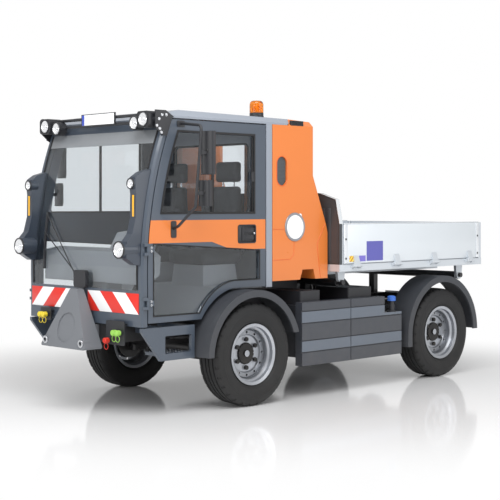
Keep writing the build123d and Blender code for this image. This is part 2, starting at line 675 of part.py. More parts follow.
# Chassis frame: two channel rails, cross tubes, tow plate and the cylinder's foot pin
CROSS_TUBES = (
    FRONT_AXLE_X + 620.0,
    FRONT_AXLE_X - 230.0,
    FRONT_AXLE_X - 1150.0,
    REAR_AXLE_X + 300.0,
)
with BuildPart() as chassis_frame:
    for side in (1, -1):
        with BuildSketch(front_view(RAIL_REAR_X)):
            with Locations((side * RAIL_MIDDLE_Y, RAIL_TOP_Z - RAIL_HEIGHT / 2)):
                Rectangle(RAIL_WIDTH, RAIL_HEIGHT)
            with Locations((side * (RAIL_MIDDLE_Y - RAIL_WALL), RAIL_TOP_Z - RAIL_HEIGHT / 2)):
                Rectangle(RAIL_WIDTH, RAIL_HEIGHT - 2 * RAIL_WALL, mode=Mode.SUBTRACT)
        extrude(amount=RAIL_FRONT_X - RAIL_REAR_X)
    for cross_x in CROSS_TUBES:
        with BuildSketch(side_view(RAIL_OUTER_Y - RAIL_WALL)):
            with Locations((cross_x, RAIL_TOP_Z - RAIL_HEIGHT / 2)):
                Circle(CROSS_TUBE_RADIUS)
        extrude(amount=2 * (RAIL_OUTER_Y - RAIL_WALL))
    for side in (1, -1):
        with BuildSketch(side_view(side * (RAIL_OUTER_Y - RAIL_WALL))):
            with Locations(CYLINDER_FOOT):
                Circle(FOOT_PIN_RADIUS)
        extrude(amount=side * (RAIL_OUTER_Y - RAIL_WALL - TRUNNION_BORE_Y - SEAT_GAP))
    for end_x, end_depth in ((RAIL_REAR_X, -12.0), (RAIL_FRONT_X, -12.0)):
        with BuildSketch(front_view(end_x)):
            with Locations((0, RAIL_TOP_Z - RAIL_HEIGHT / 2)):
                Rectangle(2 * RAIL_OUTER_Y, RAIL_HEIGHT)
        extrude(amount=end_depth)
save(chassis_frame, "chassis_frame")

# Engine: one block hung between the rails
with BuildPart() as engine_block:
    engine_middle_x = engine_rear_x + ENGINE_LENGTH / 2
    with BuildSketch(level(ENGINE_BOTTOM_Z)):
        with Locations((engine_middle_x, 0)):
            Rectangle(ENGINE_LENGTH, 2 * ENGINE_HALF_WIDTH)
    extrude(amount=ENGINE_TOP_Z - ENGINE_BOTTOM_Z)
    chamfer(engine_block.edges().filter_by(Axis.Z), 40)
    with BuildSketch(level(TYRE_RADIUS - PROPSHAFT_RADIUS)):
        with Locations((engine_rear_x + SEAT_GAP + ENGINE_LENGTH / 4, 0)):
            Rectangle(ENGINE_LENGTH / 2, ENGINE_HALF_WIDTH)
    extrude(amount=ENGINE_BOTTOM_Z - TYRE_RADIUS + PROPSHAFT_RADIUS)
    with BuildSketch(level(ENGINE_BOTTOM_Z)):
        with GridLocations(ENGINE_LENGTH / 2, 0, 2, 1):
            with Locations((engine_middle_x, 0)):
                Rectangle(60, 2 * (RAIL_OUTER_Y - RAIL_WALL - SEAT_GAP))
    extrude(amount=30)
save(engine_block, "engine_block")

# Cab front frame: two corner posts, visor strip over the windscreen and apron below it
with BuildPart() as cab_front_frame:
    for side in (1, -1):
        with BuildSketch(side_view(side * CAB_HALF_WIDTH)):
            with BuildLine():
                outer = arc_ends(CAB_FRONT_FOOT[1], ROOF_BOTTOM_Z, 0)
                inner = arc_ends(CAB_FRONT_FOOT[1], ROOF_BOTTOM_Z, POST_DEPTH)
                ThreePointArc(*outer)
                Line(outer[2], inner[2])
                ThreePointArc(*reversed(inner))
                Polyline(
                    inner[0],
                    (inner[0][0], APRON_BOTTOM_Z),
                    (outer[0][0], APRON_BOTTOM_Z),
                    outer[0],
                )
            make_face()
        extrude(amount=side * POST_WIDTH)
    with BuildSketch(side_view(CAB_HALF_WIDTH - POST_WIDTH)):
        with BuildLine():
            outer = arc_ends(WINDSCREEN_TOP_Z, ROOF_BOTTOM_Z, 0)
            inner = arc_ends(WINDSCREEN_TOP_Z, ROOF_BOTTOM_Z, POST_DEPTH)
            ThreePointArc(*outer)
            Line(outer[2], inner[2])
            ThreePointArc(*reversed(inner))
            Line(inner[0], outer[0])
        make_face()
    extrude(amount=2 * (CAB_HALF_WIDTH - POST_WIDTH))
    with BuildSketch(front_view(CAB_FRONT_FOOT[0])):
        with BuildLine():
            Polyline(
                (POST_WIDTH - CAB_HALF_WIDTH, APRON_BOTTOM_Z),
                (CAB_HALF_WIDTH - POST_WIDTH, APRON_BOTTOM_Z),
                (CAB_HALF_WIDTH - POST_WIDTH, CAB_FRONT_FOOT[1]),
                (POST_WIDTH - CAB_HALF_WIDTH, CAB_FRONT_FOOT[1]),
                close=True,
            )
        make_face()
    extrude(amount=-APRON_THICKNESS)
    corner_edges = cab_front_frame.edges().filter_by(Axis.Z).group_by(Axis.X)[-1]
    chamfer(corner_edges.sort_by(Axis.Y)[0], 14)
    corner_edges = cab_front_frame.edges().filter_by(Axis.Z).group_by(Axis.X)[-1]
    chamfer(corner_edges.sort_by(Axis.Y)[-1], 14)
    for side in (1, -1):
        for hinge_z in HINGE_HEIGHTS:
            for block_z in (hinge_z - 20 - SEAT_GAP, hinge_z + HINGE_EYE_HEIGHT + SEAT_GAP):
                with BuildSketch(level(block_z)):
                    with BuildLine():
                        Polyline(
                            (HINGE_X, side * (CAB_HALF_WIDTH - 2)),
                            (HINGE_X + 34, side * (CAB_HALF_WIDTH - 2)),
                            (HINGE_X + 34, side * (HINGE_Y + 4)),
                            (HINGE_X, side * (HINGE_Y + HINGE_EYE_RADIUS)),
                            close=True,
                        )
                    make_face()
                    with Locations((HINGE_X, side * HINGE_Y)):
                        Circle(HINGE_EYE_RADIUS)
                    with BuildLine():
                        Polyline(
                            (HINGE_X - 30, 0),
                            (HINGE_X + 60, 0),
                            (HINGE_X + 60, side * (CAB_HALF_WIDTH - 2)),
                            (HINGE_X - 30, side * (CAB_HALF_WIDTH - 2)),
                            close=True,
                        )
                    make_face(mode=Mode.SUBTRACT)
                extrude(amount=20)
            with BuildSketch(level(hinge_z - 20 - SEAT_GAP)):
                with Locations((HINGE_X, side * HINGE_Y)):
                    Circle(HINGE_PIN_RADIUS)
            extrude(amount=HINGE_EYE_HEIGHT + 40 + 2 * SEAT_GAP)
save(cab_front_frame, "cab_front_frame")

# Windscreen, bent to the front arc
with BuildPart() as windscreen:
    with BuildSketch(side_view(CAB_HALF_WIDTH - POST_WIDTH)):
        with BuildLine():
            outer = arc_ends(CAB_FRONT_FOOT[1], WINDSCREEN_TOP_Z, 0)
            inner = arc_ends(CAB_FRONT_FOOT[1], WINDSCREEN_TOP_Z, WINDSCREEN_THICKNESS)
            ThreePointArc(*outer)
            Line(outer[2], inner[2])
            ThreePointArc(*reversed(inner))
            Line(inner[0], outer[0])
        make_face()
    extrude(amount=2 * (CAB_HALF_WIDTH - POST_WIDTH))
save(windscreen, "windscreen")

# Cab floor: foot well, slope over the wheel and seat deck
deck_z = TYRE_RADIUS + FRONT_FENDER[1] + SEAT_GAP
floor_front_x = CAB_FRONT_FOOT[0] - APRON_THICKNESS
floor_path = [
    (floor_front_x, CAB_FLOOR_Z),
    (FRONT_AXLE_X + 425.0, CAB_FLOOR_Z),
    (FRONT_AXLE_X + 235.0, deck_z),
    (REAR_WALL_X + REAR_WALL_THICKNESS, deck_z),
]
with BuildPart() as cab_floor:
    with BuildSketch(side_view(FLOOR_HALF_WIDTH)):
        with BuildLine():
            upper_path = [(x, z + FLOOR_THICKNESS) for x, z in floor_path]
            Polyline(*floor_path, *reversed(upper_path), close=True)
        make_face()
    extrude(amount=2 * FLOOR_HALF_WIDTH)
    for side in (1, -1):
        with BuildSketch(level(deck_z + FLOOR_THICKNESS)):
            with Locations((SEAT_X, side * SEAT_Y)):
                Rectangle(CUSHION_LENGTH - 90, SEAT_WIDTH - 90)
        extrude(amount=CUSHION_BOTTOM_Z - SEAT_GAP - deck_z - FLOOR_THICKNESS, taper=6)
save(cab_floor, "cab_floor")

# Cab rear wall with its window, and the pillar behind each door
with BuildPart() as cab_rear_wall:
    with BuildSketch(front_view(REAR_WALL_X)):
        with BuildLine():
            Polyline(
                (-CAB_HALF_WIDTH, REAR_WALL_BOTTOM_Z),
                (CAB_HALF_WIDTH, REAR_WALL_BOTTOM_Z),
                (CAB_HALF_WIDTH, ROOF_BOTTOM_Z),
                (-CAB_HALF_WIDTH, ROOF_BOTTOM_Z),
                close=True,
            )
        make_face()
        with Locations((0, (REAR_WINDOW_BOTTOM_Z + REAR_WINDOW_TOP_Z) / 2)):
            RectangleRounded(
                2 * REAR_WINDOW_HALF_WIDTH,
                REAR_WINDOW_TOP_Z - REAR_WINDOW_BOTTOM_Z,
                40,
                mode=Mode.SUBTRACT,
            )
    extrude(amount=REAR_WALL_THICKNESS)
    for side in (1, -1):
        with BuildSketch(level(REAR_WALL_BOTTOM_Z)):
            with BuildLine():
                Polyline(
                    (REAR_WALL_X, side * CAB_HALF_WIDTH),
                    (PILLAR_FRONT_X, side * CAB_HALF_WIDTH),
                    (PILLAR_FRONT_X, side * (CAB_HALF_WIDTH - PILLAR_WIDTH)),
                    (REAR_WALL_X, side * (CAB_HALF_WIDTH - PILLAR_WIDTH)),
                    close=True,
                )
            make_face()
        extrude(amount=ROOF_BOTTOM_Z - REAR_WALL_BOTTOM_Z)
save(cab_rear_wall, "cab_rear_wall")

with BuildPart() as rear_window:
    with BuildSketch(front_view(REAR_WALL_X + (REAR_WALL_THICKNESS - GLASS_THICKNESS) / 2)):
        with Locations((0, (REAR_WINDOW_BOTTOM_Z + REAR_WINDOW_TOP_Z) / 2)):
            RectangleRounded(
                2 * (REAR_WINDOW_HALF_WIDTH - SEAT_GAP),
                REAR_WINDOW_TOP_Z - REAR_WINDOW_BOTTOM_Z - 2 * SEAT_GAP,
                40,
            )
    extrude(amount=GLASS_THICKNESS)
save(rear_window, "rear_window")

# Roof: a shallow shell with sloping shoulders
with BuildPart() as cab_roof:
    with BuildSketch(side_view(CAB_HALF_WIDTH)):
        with BuildLine():
            Polyline(
                (front_arc_x(ROOF_BOTTOM_Z), ROOF_BOTTOM_Z),
                (FRONT_AXLE_X + 653.0, ROOF_TOP_Z - 16),
                (FRONT_AXLE_X + 573.0, ROOF_TOP_Z),
                (ROOF_REAR_X, ROOF_TOP_Z - 13),
                (ROOF_REAR_X + ROOF_REAR_UNDERCUT, ROOF_BOTTOM_Z),
                close=True,
            )
        make_face()
    extrude(amount=2 * CAB_HALF_WIDTH)
    with BuildSketch(front_view(ROOF_REAR_X)):
        with BuildLine():
            Polyline(
                (-CAB_HALF_WIDTH, ROOF_BOTTOM_Z),
                (CAB_HALF_WIDTH, ROOF_BOTTOM_Z),
                (CAB_HALF_WIDTH, ROOF_BOTTOM_Z + ROOF_SIDE_HEIGHT),
                (CAB_HALF_WIDTH - ROOF_SHOULDER, ROOF_TOP_Z),
                (ROOF_SHOULDER - CAB_HALF_WIDTH, ROOF_TOP_Z),
                (-CAB_HALF_WIDTH, ROOF_BOTTOM_Z + ROOF_SIDE_HEIGHT),
                close=True,
            )
        make_face()
    extrude(amount=CAB_FRONT_FOOT[0] - ROOF_REAR_X, mode=Mode.INTERSECT)
    with BuildSketch(side_view(CAB_HALF_WIDTH - ROOF_SHOULDER)):
        with BuildLine():
            Polyline(
                (front_arc_x(ROOF_BOTTOM_Z) - 2 * ROOF_WALL, ROOF_BOTTOM_Z),
                (FRONT_AXLE_X + 573.0, ROOF_TOP_Z - ROOF_WALL),
                (REAR_WALL_X + REAR_WALL_THICKNESS, ROOF_TOP_Z - 13 - ROOF_WALL),
                (REAR_WALL_X + REAR_WALL_THICKNESS, ROOF_BOTTOM_Z),
                close=True,
            )
        make_face()
    extrude(amount=2 * (CAB_HALF_WIDTH - ROOF_SHOULDER), mode=Mode.SUBTRACT)
save(cab_roof, "cab_roof")

# Doors: outline, window and lower glass; the right door mirrors the left
door_setback = POST_DEPTH + DOOR_GAP


def lower_glass_outline(grow):
    """Outline of the glass in the lower half of a door, grown or shrunk all round."""
    with BuildLine() as outline:
        foot = (LOWER_GLASS_CURVE_FOOT_X - grow, LOWER_GLASS_FOOT_Z - grow)
        top = (LOWER_GLASS_CURVE_TOP_X - grow, LOWER_GLASS_BOTTOM_Z - grow)
        middle = (LOWER_GLASS_CURVE_MIDDLE[0] - grow, LOWER_GLASS_CURVE_MIDDLE[1] - grow)
        ThreePointArc(foot, middle, top)
        Polyline(
            top,
            (LOWER_GLASS_REAR_X - grow, LOWER_GLASS_BOTTOM_Z - grow),
            (LOWER_GLASS_REAR_X - grow, LOWER_GLASS_TOP_REAR_Z + grow),
            (LOWER_GLASS_FRONT_X + grow, LOWER_GLASS_TOP_FRONT_Z + grow),
            (LOWER_GLASS_FRONT_X + grow, LOWER_GLASS_FOOT_Z - grow),
            foot,
        )
    return outline.line


def window_outline(grow):
    """Outline of the side window, its front edge parallel to the cab's front arc."""
    with BuildLine() as outline:
        setback = door_setback + DOOR_FRAME_WIDTH - grow
        front = arc_ends(WINDOW_BOTTOM_Z - grow, WINDOW_TOP_Z + grow, setback)
        ThreePointArc(*front)
        Polyline(
            front[2],
            (WINDOW_REAR_X - grow, WINDOW_TOP_Z + grow),
            (WINDOW_REAR_X - grow, WINDOW_BOTTOM_Z - grow),
            front[0],
        )
    return outline.line


with BuildPart() as door_left:
    with BuildSketch(side_view(CAB_HALF_WIDTH)):
        with BuildLine():
            front = arc_ends(CAB_FRONT_FOOT[1], DOOR_TOP_Z, door_setback)
            ThreePointArc(*front)
            Polyline(
                front[2],
                (DOOR_REAR_X, DOOR_TOP_Z),
                (DOOR_REAR_X, DOOR_ARCH_Z),
                (DOOR_ARCH_X, DOOR_ARCH_Z),
            )
            ThreePointArc((DOOR_ARCH_X, DOOR_ARCH_Z), DOOR_ARCH_MIDDLE, (DOOR_SILL_END_X, DOOR_BOTTOM_Z))
            Polyline((DOOR_SILL_END_X, DOOR_BOTTOM_Z), (front[0][0], DOOR_BOTTOM_Z), front[0])
        make_face()
        with BuildLine():
            add(window_outline(0))
        make_face(mode=Mode.SUBTRACT)
        with BuildLine():
            add(lower_glass_outline(0))
        make_face(mode=Mode.SUBTRACT)
    extrude(amount=DOOR_THICKNESS)
    with BuildSketch(side_view(CAB_HALF_WIDTH)):
        with Locations((FRONT_AXLE_X - 34.0, 1236.0)):
            RectangleRounded(176, 128, 16)
    extrude(amount=9, mode=Mode.SUBTRACT)
    for hinge_z in HINGE_HEIGHTS:
        with BuildSketch(level(hinge_z)):
            with BuildLine():
                Polyline(
                    (HINGE_X - 60, CAB_HALF_WIDTH - 2),
                    (HINGE_X - 60, CAB_HALF_WIDTH + 6),
                    (HINGE_X - 14, CAB_HALF_WIDTH + 6),
                    (HINGE_X - 14, CAB_HALF_WIDTH - 2),
                    close=True,
                )
            make_face()
            with Locations((HINGE_X, HINGE_Y)):
                Circle(HINGE_EYE_RADIUS)
            with BuildLine():
                Polyline(
                    (HINGE_X - 20, CAB_HALF_WIDTH),
                    (HINGE_X - 20, CAB_HALF_WIDTH + 6),
                    (HINGE_X, CAB_HALF_WIDTH + 12),
                    (HINGE_X, CAB_HALF_WIDTH + 4),
                    close=True,
                )
            make_face()
            with Locations((HINGE_X, HINGE_Y)):
                Circle(HINGE_PIN_RADIUS + RUNNING_GAP, mode=Mode.SUBTRACT)
        extrude(amount=HINGE_EYE_HEIGHT)
save(door_left, "door_left")

with BuildPart() as door_right:
    mirror(door_left.part, about=Plane.XZ)
save(door_right, "door_right")

with BuildPart() as door_glass_left:
    for outline in (window_outline(-SEAT_GAP), lower_glass_outline(-SEAT_GAP)):
        with BuildSketch(side_view(CAB_HALF_WIDTH - DOOR_GLASS_INSET)):
            add(outline)
            make_face()
        extrude(amount=GLASS_THICKNESS)
save(door_glass_left, "door_glass_left")

with BuildPart() as door_glass_right:
    mirror(door_glass_left.part, about=Plane.XZ)
save(door_glass_right, "door_glass_right")

# Mirrors: bent tube arm and two heads
with BuildPart() as mirror_left:
    arm_points = [
        (FRONT_AXLE_X + 600.0, CAB_HALF_WIDTH + 4, 2010.0),
        (FRONT_AXLE_X + 585.0, MIRROR_Y, 1988.0),
        (FRONT_AXLE_X + 640.0, MIRROR_Y, 1430.0),
        (FRONT_AXLE_X + 680.0, CAB_HALF_WIDTH + 60, 1300.0),
        (FRONT_AXLE_X + 672.0, CAB_HALF_WIDTH + 4, 1284.0),
    ]
    with BuildLine() as arm_path:
        FilletPolyline(*arm_points, radius=MIRROR_ARM_BEND)
    with BuildSketch(Plane(origin=arm_path.line @ 0, z_dir=arm_path.line % 0)):
        Circle(MIRROR_ARM_RADIUS)
    sweep(path=arm_path.line)
    for (head_x, head_z), (depth, width, height) in (
        (MAIN_MIRROR, MAIN_MIRROR_SIZE),
        (WIDE_MIRROR, WIDE_MIRROR_SIZE),
    ):
        with BuildSketch(level(head_z - height / 2)):
            with Locations((head_x, MIRROR_Y)):
                RectangleRounded(depth, width, MIRROR_CORNER, rotation=MIRROR_TURN)
        extrude(amount=height)
        with BuildSketch(side_view(MIRROR_Y)):
            with Locations((head_x + depth / 2 + 20, head_z)):
                Rectangle(64, 24)
        extrude(amount=12, both=True)
    with BuildSketch(side_view(CAB_HALF_WIDTH + 6)):
        with Locations((FRONT_AXLE_X + 672.0, 1278.0)):
            RectangleRounded(48, 116, 12)
    extrude(amount=6 - SEAT_GAP)
    with BuildSketch(side_view(CAB_HALF_WIDTH + 6)):
        with Locations((FRONT_AXLE_X + 606.0, 2006.0)):
            RectangleRounded(70, 44, 10)
    extrude(amount=6 - SEAT_GAP)
save(mirror_left, "mirror_left")

with BuildPart() as mirror_right:
    mirror(mirror_left.part, about=Plane.XZ)
save(mirror_right, "mirror_right")

# Lamp pods on the corner posts: one tall moulding with two lamp barrels a side
with BuildPart() as lamp_pods:
    for side in (1, -1):
        with BuildSketch(side_view(side * POD_OUTER_Y)):
            with BuildLine():
                pod_back = arc_ends(1040.0, 1690.0, -SEAT_GAP)
                ThreePointArc(*pod_back)
                Polyline(
                    pod_back[2],
                    (TURN_LAMP[0] - 70, 1668.0),
                    (TURN_LAMP[0] - 14, 1632.0),
                    (TURN_LAMP[0] - 14, 1548.0),
                    (FRONT_AXLE_X + 988.0, 1520.0),
                    (FRONT_AXLE_X + 990.0, 1360.0),
                    (FRONT_AXLE_X + 1020.0, 1250.0),
                    (HEADLAMP[0] - 30, 1200.0),
                    (HEADLAMP[0] - 24, 1090.0),
                    (FRONT_AXLE_X + 990.0, 1040.0),
                    pod_back[0],
                )
            make_face()
        extrude(amount=side * (POD_OUTER_Y - POD_INNER_Y))
        for (lamp_x, lamp_y, lamp_z), lamp_radius, depth in (
            (HEADLAMP, HEADLAMP_RADIUS, 120.0),
            (TURN_LAMP, TURN_LAMP_RADIUS, 70.0),
        ):
            with BuildSketch(front_view(lamp_x - depth)):
                with Locations((side * lamp_y, lamp_z)):
                    Circle(lamp_radius)
            extrude(amount=depth)
            with BuildSketch(front_view(lamp_x)):
                with Locations((side * lamp_y, lamp_z)):
                    Circle(lamp_radius - 7)
            extrude(amount=-10, mode=Mode.SUBTRACT)
save(lamp_pods, "lamp_pods")

# Roof lamp bar: side brackets, two cross tubes, square and round lamps
bracket_back = arc_ends(BRACKET_FOOT_Z, DOOR_TOP_Z + BRACKET_CLEARANCE, POST_DEPTH)
bracket_outline = [
    (BRACKET_TAIL_X, BRACKET_SHOULDER_Z),
    (BRACKET_CROWN_X, BRACKET_TOP_Z),
    (BRACKET_FRONT_X, BRACKET_TOP_Z),
    (BRACKET_FRONT_X, BRACKET_CHIN_Z),
    (bracket_back[0][0] + BRACKET_FOOT_LENGTH, BRACKET_FOOT_Z),
]
with BuildPart() as roof_lamp_bar:
    for side in (1, -1):
        with BuildSketch(side_view(side * (CAB_HALF_WIDTH + SEAT_GAP + LAMP_BRACKET_THICKNESS))):
            with BuildLine():
                ThreePointArc(*bracket_back)
                Polyline(bracket_back[2], *bracket_outline, bracket_back[0])
            make_face()
        extrude(amount=side * LAMP_BRACKET_THICKNESS)
        box_depth, box_width, box_height = ROOF_LAMP_SIZE
        lamp_front = front_view(ROOF_LAMP[0])
        with BuildSketch(lamp_front):
            with Locations((side * ROOF_LAMP[1], ROOF_LAMP[2])):
                RectangleRounded(box_width, box_height, 24)
        extrude(amount=-box_depth)
        with BuildSketch(lamp_front):
            with Locations((side * ROOF_LAMP[1], ROOF_LAMP[2])):
                Circle(box_height / 2 - 10)
        extrude(amount=-12, mode=Mode.SUBTRACT)
        with BuildSketch(side_view(side * (CAB_HALF_WIDTH + SEAT_GAP + 1))):
            with Locations((ROOF_LAMP[0] - box_depth / 2, ROOF_LAMP[2])):
                Circle(18)
        extrude(amount=side * (CAB_HALF_WIDTH - ROOF_LAMP[1]))
        with BuildSketch(front_view(WORK_LAMP[0])):
            with Locations((side * WORK_LAMP[1], WORK_LAMP[2])):
                Circle(WORK_LAMP_RADIUS)
        extrude(amount=-WORK_LAMP_DEPTH)
    for bar_z in LAMP_BAR_HEIGHTS:
        with BuildSketch(side_view(ROOF_LAMP[1])):
            with Locations((LAMP_BAR_X, bar_z)):
                Circle(LAMP_BAR_RADIUS)
        extrude(amount=2 * ROOF_LAMP[1])
save(roof_lamp_bar, "roof_lamp_bar")

# Beacon: ribbed base and domed lens
with BuildPart() as beacon:
    with BuildSketch(level(ROOF_TOP_Z - 14)):
        with Locations((BEACON_X, BEACON_Y)):
            Circle(BEACON_RADIUS)
    extrude(amount=BEACON_BASE_HEIGHT + 14)
    with BuildSketch(level(ROOF_TOP_Z + BEACON_BASE_HEIGHT)):
        with Locations((BEACON_X, BEACON_Y)):
            Circle(BEACON_RADIUS - 5)
    extrude(amount=BEACON_TOP_Z - ROOF_TOP_Z - BEACON_BASE_HEIGHT)
    fillet(beacon.edges().sort_by(Axis.Z)[-1], 26)
    add(cab_roof.part, mode=Mode.SUBTRACT)
save(beacon, "beacon")

# Dashboard: a low ledge behind the windscreen with a hooded binnacle
with BuildPart() as dashboard:
    with BuildSketch(side_view(DASH_HALF_WIDTH)):
        with BuildLine():
            dash_front = arc_ends(900.0, DASH_FRONT_Z, 60.0)
            ThreePointArc(*dash_front)
            Polyline(
                dash_front[2],
                (FRONT_AXLE_X + 760.0, DASH_FRONT_Z + 20),
                (FRONT_AXLE_X + 690.0, DASH_FRONT_Z - 30),
                (FRONT_AXLE_X + 700.0, 960.0),
                (FRONT_AXLE_X + 800.0, 900.0),
                dash_front[0],
            )
        make_face()
    extrude(amount=2 * DASH_HALF_WIDTH)
    with BuildSketch(side_view(SEAT_Y + 150)):
        with BuildLine():
            Polyline(
                (FRONT_AXLE_X + 850.0, DASH_FRONT_Z - 20),
                (FRONT_AXLE_X + 760.0, DASH_FRONT_Z + 130),
                (FRONT_AXLE_X + 690.0, DASH_FRONT_Z + 140),
                (FRONT_AXLE_X + 660.0, DASH_FRONT_Z + 40),
                (FRONT_AXLE_X + 690.0, DASH_FRONT_Z - 60),
                close=True,
            )
        make_face()
    extrude(amount=300.0)
    with BuildSketch(level(CAB_FLOOR_Z + FLOOR_THICKNESS)):
        with Locations((FRONT_AXLE_X + 790.0, 0)):
            Rectangle(130, 320)
    extrude(amount=960.0 - CAB_FLOOR_Z - FLOOR_THICKNESS)
save(dashboard, "dashboard")

# Steering wheel and column
column_axis = Plane(
    origin=(STEERING_WHEEL_CENTRE[0], SEAT_Y, STEERING_WHEEL_CENTRE[1]),
    x_dir=(0, 1, 0),
    z_dir=(
        -math.sin(math.radians(STEERING_WHEEL_TILT)),
        0,
        math.cos(math.radians(STEERING_WHEEL_TILT)),
    ),
)
with BuildPart() as steering_wheel:
    with BuildSketch(Plane(origin=column_axis.origin, x_dir=column_axis.x_dir, z_dir=-column_axis.y_dir)):
        with Locations((WHEEL_RIM_RADIUS, 0)):
            Circle(WHEEL_RIM_TUBE)
    revolve(axis=Axis(column_axis.origin, column_axis.z_dir))
    with BuildSketch(column_axis.offset(-14)):
        Circle(46)
        Rectangle(2 * WHEEL_RIM_RADIUS, 30)
    extrude(amount=16)
    with BuildSketch(column_axis.offset(-14)):
        Circle(24)
    extrude(amount=-STEERING_WHEEL_CENTRE[1])
    split(bisect_by=level(CAB_FLOOR_Z + FLOOR_THICKNESS), keep=Keep.TOP)
save(steering_wheel, "steering_wheel")

# Seats: plinth, cushion, backrest and headrest
with BuildPart() as seats:
    for side in (1, -1):
        with BuildSketch(level(CUSHION_BOTTOM_Z)):
            with Locations((SEAT_X, side * SEAT_Y)):
                RectangleRounded(CUSHION_LENGTH, SEAT_WIDTH, 60)
        extrude(amount=CUSHION_THICKNESS)
        with BuildSketch(side_view(side * SEAT_Y + SEAT_WIDTH / 2)):
            with BuildLine():
                back_foot_x = SEAT_X - CUSHION_LENGTH / 2
                Polyline(
                    (back_foot_x - 30, CUSHION_BOTTOM_Z + 40),
                    (back_foot_x + BACKREST_THICKNESS - 30, CUSHION_BOTTOM_Z + 40),
                    (back_foot_x + BACKREST_THICKNESS - 90, BACKREST_TOP_Z),
                    (back_foot_x - 65, BACKREST_TOP_Z),
                    close=True,
                )
            make_face()
        extrude(amount=SEAT_WIDTH)
        with BuildSketch(side_view(side * SEAT_Y + HEADREST_WIDTH / 2)):
            with BuildLine():
                Polyline(
                    (back_foot_x - 62, BACKREST_TOP_Z - 10),
                    (back_foot_x + BACKREST_THICKNESS - 92, BACKREST_TOP_Z - 10),
                    (back_foot_x + BACKREST_THICKNESS - 100, BACKREST_TOP_Z + HEADREST_HEIGHT),
                    (back_foot_x - 50, BACKREST_TOP_Z + HEADREST_HEIGHT),
                    close=True,
                )
            make_face()
        extrude(amount=HEADREST_WIDTH)
save(seats, "seats")

# Cover towers behind the cab, with air slot, sign disc and sloping tail
tower_outline = [
    (TOWER_FRONT_X, TOWER_BOTTOM_Z),
    (TOWER_FRONT_X, ROOF_BOTTOM_Z - SEAT_GAP),
    (TOWER_STEP_X, ROOF_BOTTOM_Z - SEAT_GAP),
    (TOWER_STEP_X - (TOWER_TOP_Z - ROOF_BOTTOM_Z), TOWER_TOP_Z),
    (TOWER_REAR_X, TOWER_REAR_TOP_Z),
    (TOWER_REAR_X, TOWER_KINK_Z),
    TOWER_SLOPE,
    (TOWER_TAIL_X, 1230.0),
    (TOWER_TAIL_X, TOWER_BOTTOM_Z),
    (TOWER_REAR_X - 27, TOWER_BOTTOM_Z),
    (TOWER_REAR_X - 6, TOWER_NOTCH_TOP_Z),
    (FRONT_AXLE_X - 626.0, TOWER_NOTCH_TOP_Z),
    (FRONT_AXLE_X - 598.0, TOWER_BOTTOM_Z),
]
with BuildPart() as cover_towers:
    for side in (1, -1):
        with BuildSketch(side_view(side * CAB_HALF_WIDTH)):
            with BuildLine():
                Polyline(*tower_outline, close=True)
            make_face()
        extrude(amount=side * (CAB_HALF_WIDTH - TOWER_INNER_Y))
        with BuildSketch(side_view(side * CAB_HALF_WIDTH)):
            with Locations((SLOT_X, SLOT_Z)):
                SlotOverall(SLOT_HEIGHT, SLOT_WIDTH, rotation=90)
        extrude(amount=side * SLOT_DEPTH, mode=Mode.SUBTRACT)
        with BuildSketch(side_view(side * (CAB_HALF_WIDTH + SIGN_THICKNESS))):
            with Locations((SIGN_X, SIGN_Z)):
                Circle(SIGN_RADIUS)
        extrude(amount=side * (SIGN_THICKNESS + 2))
    with BuildSketch(front_view(TOWER_TAIL_X - 5)):
        with BuildLine():
            Polyline(
                (-CAB_HALF_WIDTH - 10, TOWER_BOTTOM_Z),
                (CAB_HALF_WIDTH + 10, TOWER_BOTTOM_Z),
                (CAB_HALF_WIDTH + 10, ROOF_BOTTOM_Z),
                (CAB_HALF_WIDTH, ROOF_BOTTOM_Z),
                (CAB_HALF_WIDTH - TOWER_SHOULDER, TOWER_TOP_Z),
                (TOWER_SHOULDER - CAB_HALF_WIDTH, TOWER_TOP_Z),
                (-CAB_HALF_WIDTH, ROOF_BOTTOM_Z),
                (-CAB_HALF_WIDTH - 10, ROOF_BOTTOM_Z),
                close=True,
            )
        make_face()
    extrude(amount=TOWER_FRONT_X - TOWER_TAIL_X + 10, mode=Mode.INTERSECT)
save(cover_towers, "cover_towers")

